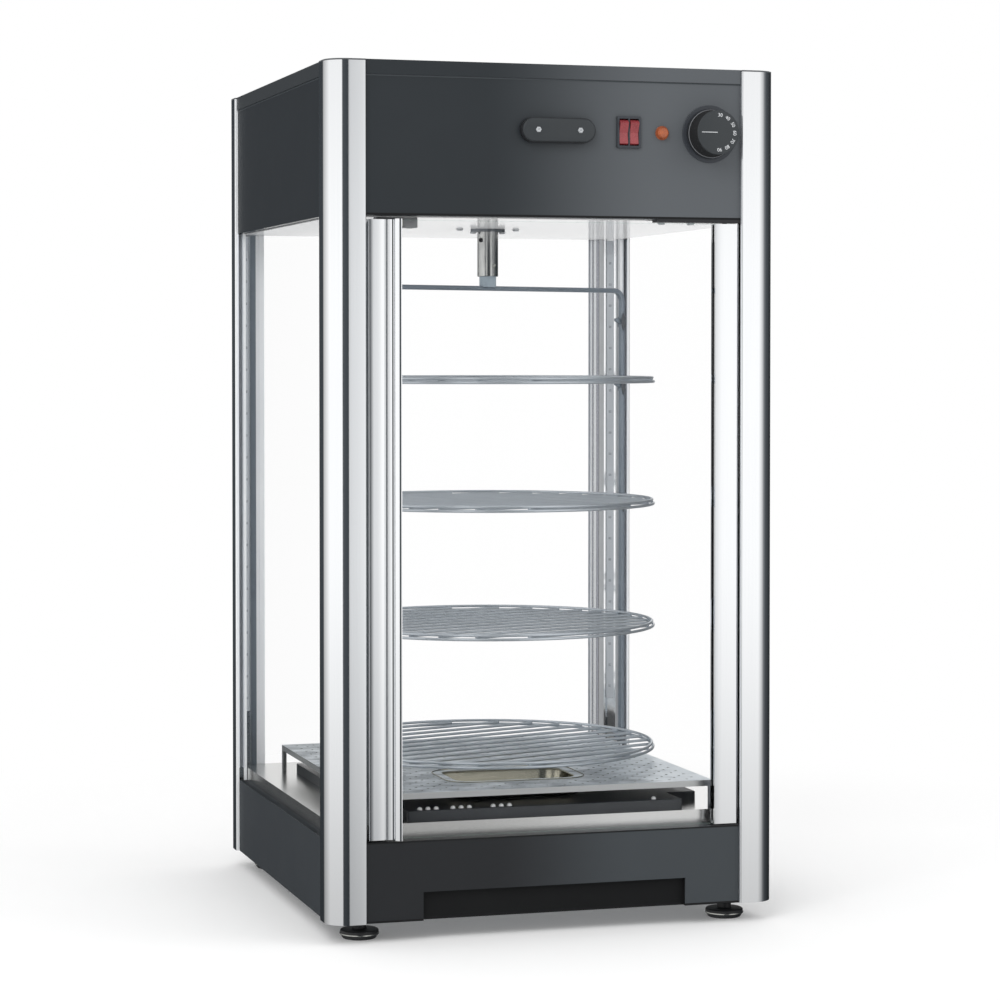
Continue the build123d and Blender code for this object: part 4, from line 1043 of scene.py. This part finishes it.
def make_screws():
    places = []
    for x, rise in ceiling_screws:
        place = upright(x * mm, y_mid, z_ceiling + rise * mm) @ to_ceiling @ wide_head
        places.append((place, short_shank))
    plate_low, plate_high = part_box("upper_hinge_plate")
    y, z = plate_high.y - hinge_screw_back * mm, z_header - hinge_sheet * mm
    for x in hinge_screws:
        places.append((upright(plate_low.x + x * mm, y, z) @ to_ceiling @ large_head, short_shank))
    blank = on_front("blank_plate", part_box("blank_plate")[0].y)
    for x in blank_screws:
        places.append((Matrix.Translation((x * mm, 0, 0)) @ blank, long_shank))
    bm = bmesh.new()
    for place, shank in places:
        part = bmesh.new()
        lathe(part, [*screw_head, (shank_radius, 0), (shank_radius, -shank), (0, -shank)], 6)
        join(bm, part, in_mm(place))
    piece("hex_screws", bm, Matrix(), "cabinet", ["screw_grey"], ["small_screws"])


# Door. A stile's section has its outer edge at the origin and its front towards -Y

stile_front = (0, -6, 1.0)
stile_groove = [(15.8, -6, 0.2), (15.8, -4), (18.2, -4), (18.2, -6, 0.2)]
stile_back = [(24, -6, 0.6), (24, -2.5), (18, -2.5), (18, 2.5), (24, 2.5), (24, 6, 0.6), (0, 6, 1.0)]
stiles = {
    "left": [[stile_front, *stile_groove, *stile_back], oblong(4.0, 3.0, centre=(10.0, 0))],
    "right": [[stile_front, *stile_back], oblong(4.2, 4.2, centre=(12.0, 0))],
}
pull_half, pull_round, pull_corner = 4.0, 7.9, 0.5
catch_front = 2.0
rivet = [(0, -0.4), (2.4, -0.4), (3.0, 0), (3.0, 0.6)]
rivet_inset = 6.0
magnet_starts = (-5.0, 1.5)
magnet_width, magnet_depth, magnet_inset = 3.5, 3.0, 1.5


def make_stiles():
    for side, outlines in stiles.items():
        node = f"door_{side}_stile"
        low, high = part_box(node)
        bm = bmesh.new()
        prism(bm, outlines, 0, size(node).z)
        if side == "right":
            bmesh.ops.scale(bm, vec=(-1, 1, 1), verts=bm.verts)
        edge = low.x if side == "left" else high.x
        place = upright(edge, middle(node).y, low.z)
        piece(f"stile_{side}", bm, place, "door", ["anodised_post"], [node])


def make_handle():
    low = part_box("door_handle")[0]
    back = size("door_handle").y
    outline = [(-pull_half, 0, pull_round), (pull_half, 0, pull_corner)]
    bm = bmesh.new()
    prism(bm, [[*outline, (pull_half, back), (-pull_half, back)]], 0, size("door_handle").z)
    soften(bm, 0.4, 2, 70)
    bm.normal_update()
    # The faces that look to the left are painted darker, as a painted shadow line beside the pull.
    paint_faces(bm, 1, lambda face: face.normal.x < -0.9)
    place = upright(middle("door_handle").x, low.y, low.z)
    finishes = ["anodised_post", "slate_plastic"]
    piece("door_pull", bm, place, "door", finishes, ["door_handle"])


def make_catch():
    length, depth, height = size("door_catch")
    bm = bmesh.new()
    block(bm, (0, catch_front, 0), (length, depth, height))
    soften(bm, 0.8)
    before = set(bm.faces)
    for x in (rivet_inset, length - rivet_inset):
        lathe(bm, rivet, 20, (x, depth - rivet_inset))
    for start in magnet_starts:
        x = length / 2 + start
        block(bm, (x, 0, magnet_inset), (x + magnet_width, magnet_depth, height - magnet_inset))
    paint_new(bm, 1, before)
    place = upright(*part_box("door_catch")[0])
    finishes = ["catch_grey", "zinc_plate"]
    piece("magnet_catch", bm, place, "cabinet", finishes, ["door_catch"])


# Controls

pill_round = 0.99
plate_reveal, plate_edge_drop = 0.8, 2.5
window_half_x, window_half_y, window_offset = 4.65, 13.25, 5.45
bezel_stand = 2.2
housing_inset = 1.2
housing_floor, housing_back = -15.0, -26.0
seam = 0.01
lamp_depth = 22.0
lamp_profile = [(0, -lamp_depth), (5, -lamp_depth), (5, -seam), (7, 0), (7, 0.9)]
lamp_profile += arc((0, 0.2), 6.7, 8, 82, 12)
disc = [(3.5, 0), (28.1, 0), (28.5, 0.4), (28.5, 1.2), (28.1, 1.6), (24.9, 1.6), (24.6, 1.3), (3.5, 1.3)]
skirt = [(3.1, 0), (23.6, 0), (24, 0.4), (24, 3.4), (23.4, 4.0), (22.3, 4.0), (22, 4.4)]
crown_radius, crown_round = 21.2, 0.8
# The ring on the knob's chamfer is a painted highlight, lighter than the knob.
highlight_radius, highlight_low, highlight_high = 23.0, 3.4, 4.0
mark_rise = 0.1
mark_low, mark_high = (-17.5, -0.3), (-1.0, 0.3)
numeral_height, numeral_radius = 5.0, 17.0
first_numeral, numeral_step = 84.0, 28.4
numbers = range(30, 100, 10)


def pill(half_x, half_y):
    """An oblong outline with round ends."""
    return oblong(half_x, half_y, half_y * pill_round)


def make_blank_plate():
    length, stand, breadth = size("blank_plate")
    half_x, half_y = length / 2, breadth / 2
    place = on_front("blank_plate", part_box("blank_plate")[1].y)
    bm = bmesh.new()
    prism(bm, [pill(half_x - plate_reveal, half_y - plate_reveal)], 0, stand, 14)
    soften(bm, 1.6, 4, 60, above(stand - touch))
    piece("pill_plate", bm, place, "cabinet", ["plate_paint"], ["blank_plate"])
    bm = bmesh.new()
    prism(bm, [pill(half_x, half_y)], 0, stand - plate_edge_drop, 14)
    soften(bm, 0.4, 2, 60)
    piece("pill_plate_edge", bm, place, "cabinet", ["black_steel"])


def make_switch():
    half_x, half_y = size("switch_housing").xz / 2
    inner_x, inner_y = half_x - housing_inset, half_y - housing_inset
    middles = ((-window_offset, 0), (window_offset, 0))
    windows = [oblong(window_half_x, window_half_y, centre=spot) for spot in middles]
    bm = bmesh.new()
    prism(bm, [oblong(half_x, half_y, 1.0), *windows], -seam, bezel_stand, 4)
    soften(bm, 0.45, 2, 60, above(bezel_stand - seam))
    bm.normal_update()
    paint_faces(bm, 1, lambda face: abs(face.normal.z) < 0.5)
    before = set(bm.faces)
    prism(bm, [oblong(inner_x, inner_y), *windows], housing_floor, -2 * seam)
    prism(bm, [oblong(inner_x, inner_y)], housing_back, housing_floor)
    paint_new(bm, 1, before)
    finishes = ["slate_plastic", "black_plastic"]
    place = on_front("switch_housing")
    piece("switch_frame", bm, place, "cabinet", finishes, ["switch_housing"])


def make_lamp():
    stand = size("pilot_lamp").y - lamp_depth
    bm = bmesh.new()
    lathe(bm, [(radius, min(height, stand)) for radius, height in lamp_profile], 40)
    place = on_front("pilot_lamp")
    piece("amber_lamp", bm, place, "cabinet", ["amber_lens"], ["pilot_lamp"], 50)


def make_knob():
    bm = bmesh.new()
    lathe(bm, disc + disc[:1], 96)
    place = on_front("thermostat_knob")
    piece("dial_ring", bm, place, "cabinet", ["slate_plastic"], ["knob_scale"])
    height = size("thermostat_knob").y - mark_rise
    crown = arc((crown_radius, height - crown_round), crown_round, 0, 90, 5)
    bm = bmesh.new()
    lathe(bm, [*skirt, *crown, (0, height)], 96)
    # The crown faces take the second finish; the chamfer ring takes a lighter grey as a painted
    # highlight.
    for face in bm.faces:
        spot = face.calc_center_median()
        if spot.z > height - crown_round:
            face.material_index = 1
        elif highlight_low < spot.z < highlight_high and spot.xy.length > highlight_radius:
            face.material_index = 2
    place = on_front("thermostat_knob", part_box("thermostat_knob")[1].y)
    finishes = ["matt_black", "plate_paint", "chamfer_highlight"]
    piece("dial_knob", bm, place, "knob", finishes, ["thermostat_knob"])
    marks = bmesh.new()
    spot = Matrix.Translation((numeral_radius, 0, height - mark_rise)) @ Matrix.Rotation(-pi / 2, 4, "Z")
    for step, number in enumerate(numbers):
        swing = Matrix.Rotation(radians(first_numeral - numeral_step * step), 4, "Z")
        join(marks, numeral(str(number)), swing @ spot)
    block(marks, (*mark_low, height - mark_rise), (*mark_high, height + mark_rise))
    piece("dial_marks", marks, place, "knob", ["print_white"])


def numeral(text):
    """A plain printed number, a little raised, about its own middle."""
    curve = bpy.data.curves.new("numeral", "FONT")
    curve.body = text
    curve.size = numeral_height
    curve.align_x = "CENTER"
    curve.align_y = "CENTER"
    curve.extrude = mark_rise
    curve.resolution_u = 3
    holder = bpy.data.objects.new("numeral", curve)
    mesh = bpy.data.meshes.new_from_object(holder)
    bm = bmesh.new()
    bm.from_mesh(mesh)
    bmesh.ops.translate(bm, verts=bm.verts, vec=(0, 0, mark_rise))
    bpy.data.objects.remove(holder)
    bpy.data.curves.remove(curve)
    bpy.data.meshes.remove(mesh)
    return bm


# Cable gland in the rear panel: a sleeve, two hexagon nuts and a domed nut

gland_sleeve = [(4.5, -13.5), (10, -13.5), (10, 8)]
gland_nuts = ((-6.5, -1.5), (0, 8))
nut_radius = 13.0
gland_dome = [(10, 8), (11.6, 8.6), (11.6, 16), *arc((7.6, 16), 4.0, 0, 60, 5)]
gland_dome += [(7.0, 24), (4.5, 24), (4.5, -13.5)]


def make_gland():
    spot = middle("cable_gland")
    bm = bmesh.new()
    lathe(bm, gland_sleeve, 32)
    for low, high in gland_nuts:
        part = bmesh.new()
        rod(part, Matrix.Translation((0, 0, (low + high) / 2)), nut_radius, high - low, 6)
        soften(part, 0.6)
        join(bm, part)
    lathe(bm, gland_dome, 32)
    place = facing_rear(spot.x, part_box("header_rear_panel")[1].y, spot.z)
    piece("entry_gland", bm, place, "cabinet", ["black_plastic"], ["cable_gland"])


# CAD nodes that keep their own shape

kept_nodes = {
    "header_paint": "header_front_panel",
    "base_paint": "base_front_panel",
    "side_paint": "base_left_panel base_right_panel base_rear_panel",
    "lid_paint": "top_cover",
    "charcoal_paint": "header_left_panel header_right_panel header_rear_panel",
    "pocket_black": "notch_pocket",
    "galvanised": "base_tray",
    "zinc_plate": "foot_bushes pivot_blocks",
    "stainless": "floor_deck",
    "element_sheath": "heating_elements",
    "clear_glass": "glass_left glass_right glass_rear",
    "door_pane": "door_glass",
    "ceiling_metal": "ceiling_panel",
    "black_steel": "upper_hinge_plate lower_hinge_plate gear_motor",
    "ivory_plastic": "terminal_block",
    "satin_aluminium": "power_supply",
    "black_plastic": "thermostat_body",
    "red_lens": "rocker_left rocker_right",
}


def dress_kept_nodes():
    for finish, names in kept_nodes.items():
        for name in names.split():
            nodes[name].data.materials.clear()
            nodes[name].data.materials.append(looks[finish])


make_posts()
make_gaskets()
make_caps()
make_feet()
make_bench()
make_water_pan()
make_baffle()
make_lamp_strips()
make_shelves()
make_hanger()
make_drive()
make_bearing()
make_screws()
make_stiles()
make_handle()
make_catch()
make_blank_plate()
make_switch()
make_lamp()
make_knob()
make_gland()
dress_kept_nodes()


# Floor, studio and camera, in metres

lamp_width = 1.6
lamp_target = (0, 0, 0.4)


def grey(value, blue=0.0):
    return (value * (1 - blue), value, value * (1 + blue), 1.0)


def make_floor():
    """A pale floor that turns into plain white away from the case."""
    bpy.ops.mesh.primitive_plane_add(size=60)
    floor = bpy.context.object
    floor.name = "floor"
    finish = new_finish("pale_floor")
    place = finish.node("ShaderNodeTexCoord").outputs["Object"]
    reach = finish.node("ShaderNodeVectorMath", {"operation": "LENGTH"}, {0: place}).outputs["Value"]
    far = finish.rise(reach, 0.55, 1.1)
    colour = finish.shade((246, 246, 246), (243, 243, 243), finish.noise(3.0))
    matt = finish.node("ShaderNodeBsdfDiffuse", None, {"Color": colour})
    lift = finish.node("ShaderNodeEmission", None, {"Color": grey(1.0), "Strength": 0.12})
    near = finish.node("ShaderNodeAddShader", None, {0: matt.outputs[0], 1: lift.outputs[0]})
    white = finish.node("ShaderNodeEmission", None, {"Color": grey(1.0), "Strength": 1.0})
    layers = {0: far, 1: near.outputs[0], 2: white.outputs[0]}
    blend = finish.node("ShaderNodeMixShader", None, layers)
    finish.node("ShaderNodeOutputMaterial", None, {"Surface": blend.outputs[0]})
    floor.data.materials.append(finish.owner)
    floor.visible_glossy = False


# Bands of the studio that the metal mirrors: azimuth from the front, positive to the left,
# then how bright and how blue.
slate = (0.055, 0.12)
bands = (
    *((-178, *slate), (-175, 1.1, 0), (-152, 1.1, 0), (-148, *slate), (-115, 0.03, 0.1)),
    *((-80, 0.08, 0.1), (-66, 0.2, 0.05), (-52, 0.66, 0.01), (-40, 0.9, 0), (-32, 1.05, 0)),
    *((-18.5, 1.05, 0), (-15, 0.79, 0.01), (-11, 0.76, 0.01), (-9.5, *slate), (21, 0.09, 0.1)),
    *((24, 1.05, 0), (98, 1.05, 0), (115, 0.86, 0), (132, 0.68, 0), (150, 0.52, 0)),
    *((158, 0.3, 0), (163, *slate), (180, *slate)),
)


def make_world():
    world = bpy.data.worlds.new("studio")
    bpy.context.scene.world = world
    finish = Finish(world)
    direction = finish.node("ShaderNodeTexCoord").outputs["Generated"]
    parts = finish.node("ShaderNodeSeparateXYZ", None, {"Vector": direction}).outputs
    east = Number(finish, parts[0]) * -1.0
    north = Number(finish, parts[1]) * -1.0
    share = east.sum("ARCTAN2", east, north) / (2 * pi) + 0.5
    ramp = finish.node("ShaderNodeValToRGB", None, {"Fac": share})
    stops = ramp.color_ramp.elements
    while len(stops) < len(bands):
        stops.new(0.5)
    for stop, (angle, value, blue) in zip(stops, bands):
        stop.position = (angle + 180) / 360
        stop.color = grey(value, blue)
    from_below = finish.rise(parts[2], -0.23, -0.06)
    from_above = finish.rise(parts[2], 0.02, 0.12)
    level = from_below * 0.5 + 0.5 - from_above * 0.14
    mirrored_studio = finish.mix(grey(0.0), ramp.outputs[0], level)
    path = finish.node("ShaderNodeLightPath").outputs
    seen = finish.mix(grey(0.86), grey(1.0), path["Is Camera Ray"])
    seen = finish.mix(seen, mirrored_studio, path["Is Glossy Ray"])
    seen = finish.mix(seen, grey(1.0), path["Is Transmission Ray"])
    sky = finish.node("ShaderNodeBackground", None, {"Color": seen, "Strength": 1.0})
    finish.node("ShaderNodeOutputWorld", None, {"Surface": sky.outputs[0]})


def make_light(name, place, power):
    data = bpy.data.lights.new(name, "AREA")
    data.shape = "SQUARE"
    data.size = lamp_width
    data.energy = power
    lamp = bpy.data.objects.new(name, data)
    lamp.location = place
    beam = Vector(lamp_target) - Vector(place)
    lamp.rotation_euler = beam.to_track_quat("-Z", "Y").to_euler()
    lamp.visible_glossy = False
    bpy.context.scene.collection.objects.link(lamp)


def make_camera():
    data = bpy.data.cameras.new("camera")
    data.sensor_width = 36.0
    data.lens = 103.6
    data.shift_y = -0.067
    camera = bpy.data.objects.new("camera", data)
    camera.location = (-0.8623, -2.9313, 0.5681)
    camera.rotation_euler = (radians(88.5), 0, radians(-16.63))
    bpy.context.scene.collection.objects.link(camera)
    bpy.context.scene.camera = camera


make_floor()
make_world()
make_light("key", (-1.6, -2.2, 2.4), 28)
make_light("fill", (2.2, -1.6, 1.8), 12)
make_camera()
bpy.context.scene.view_settings.view_transform = "Standard"
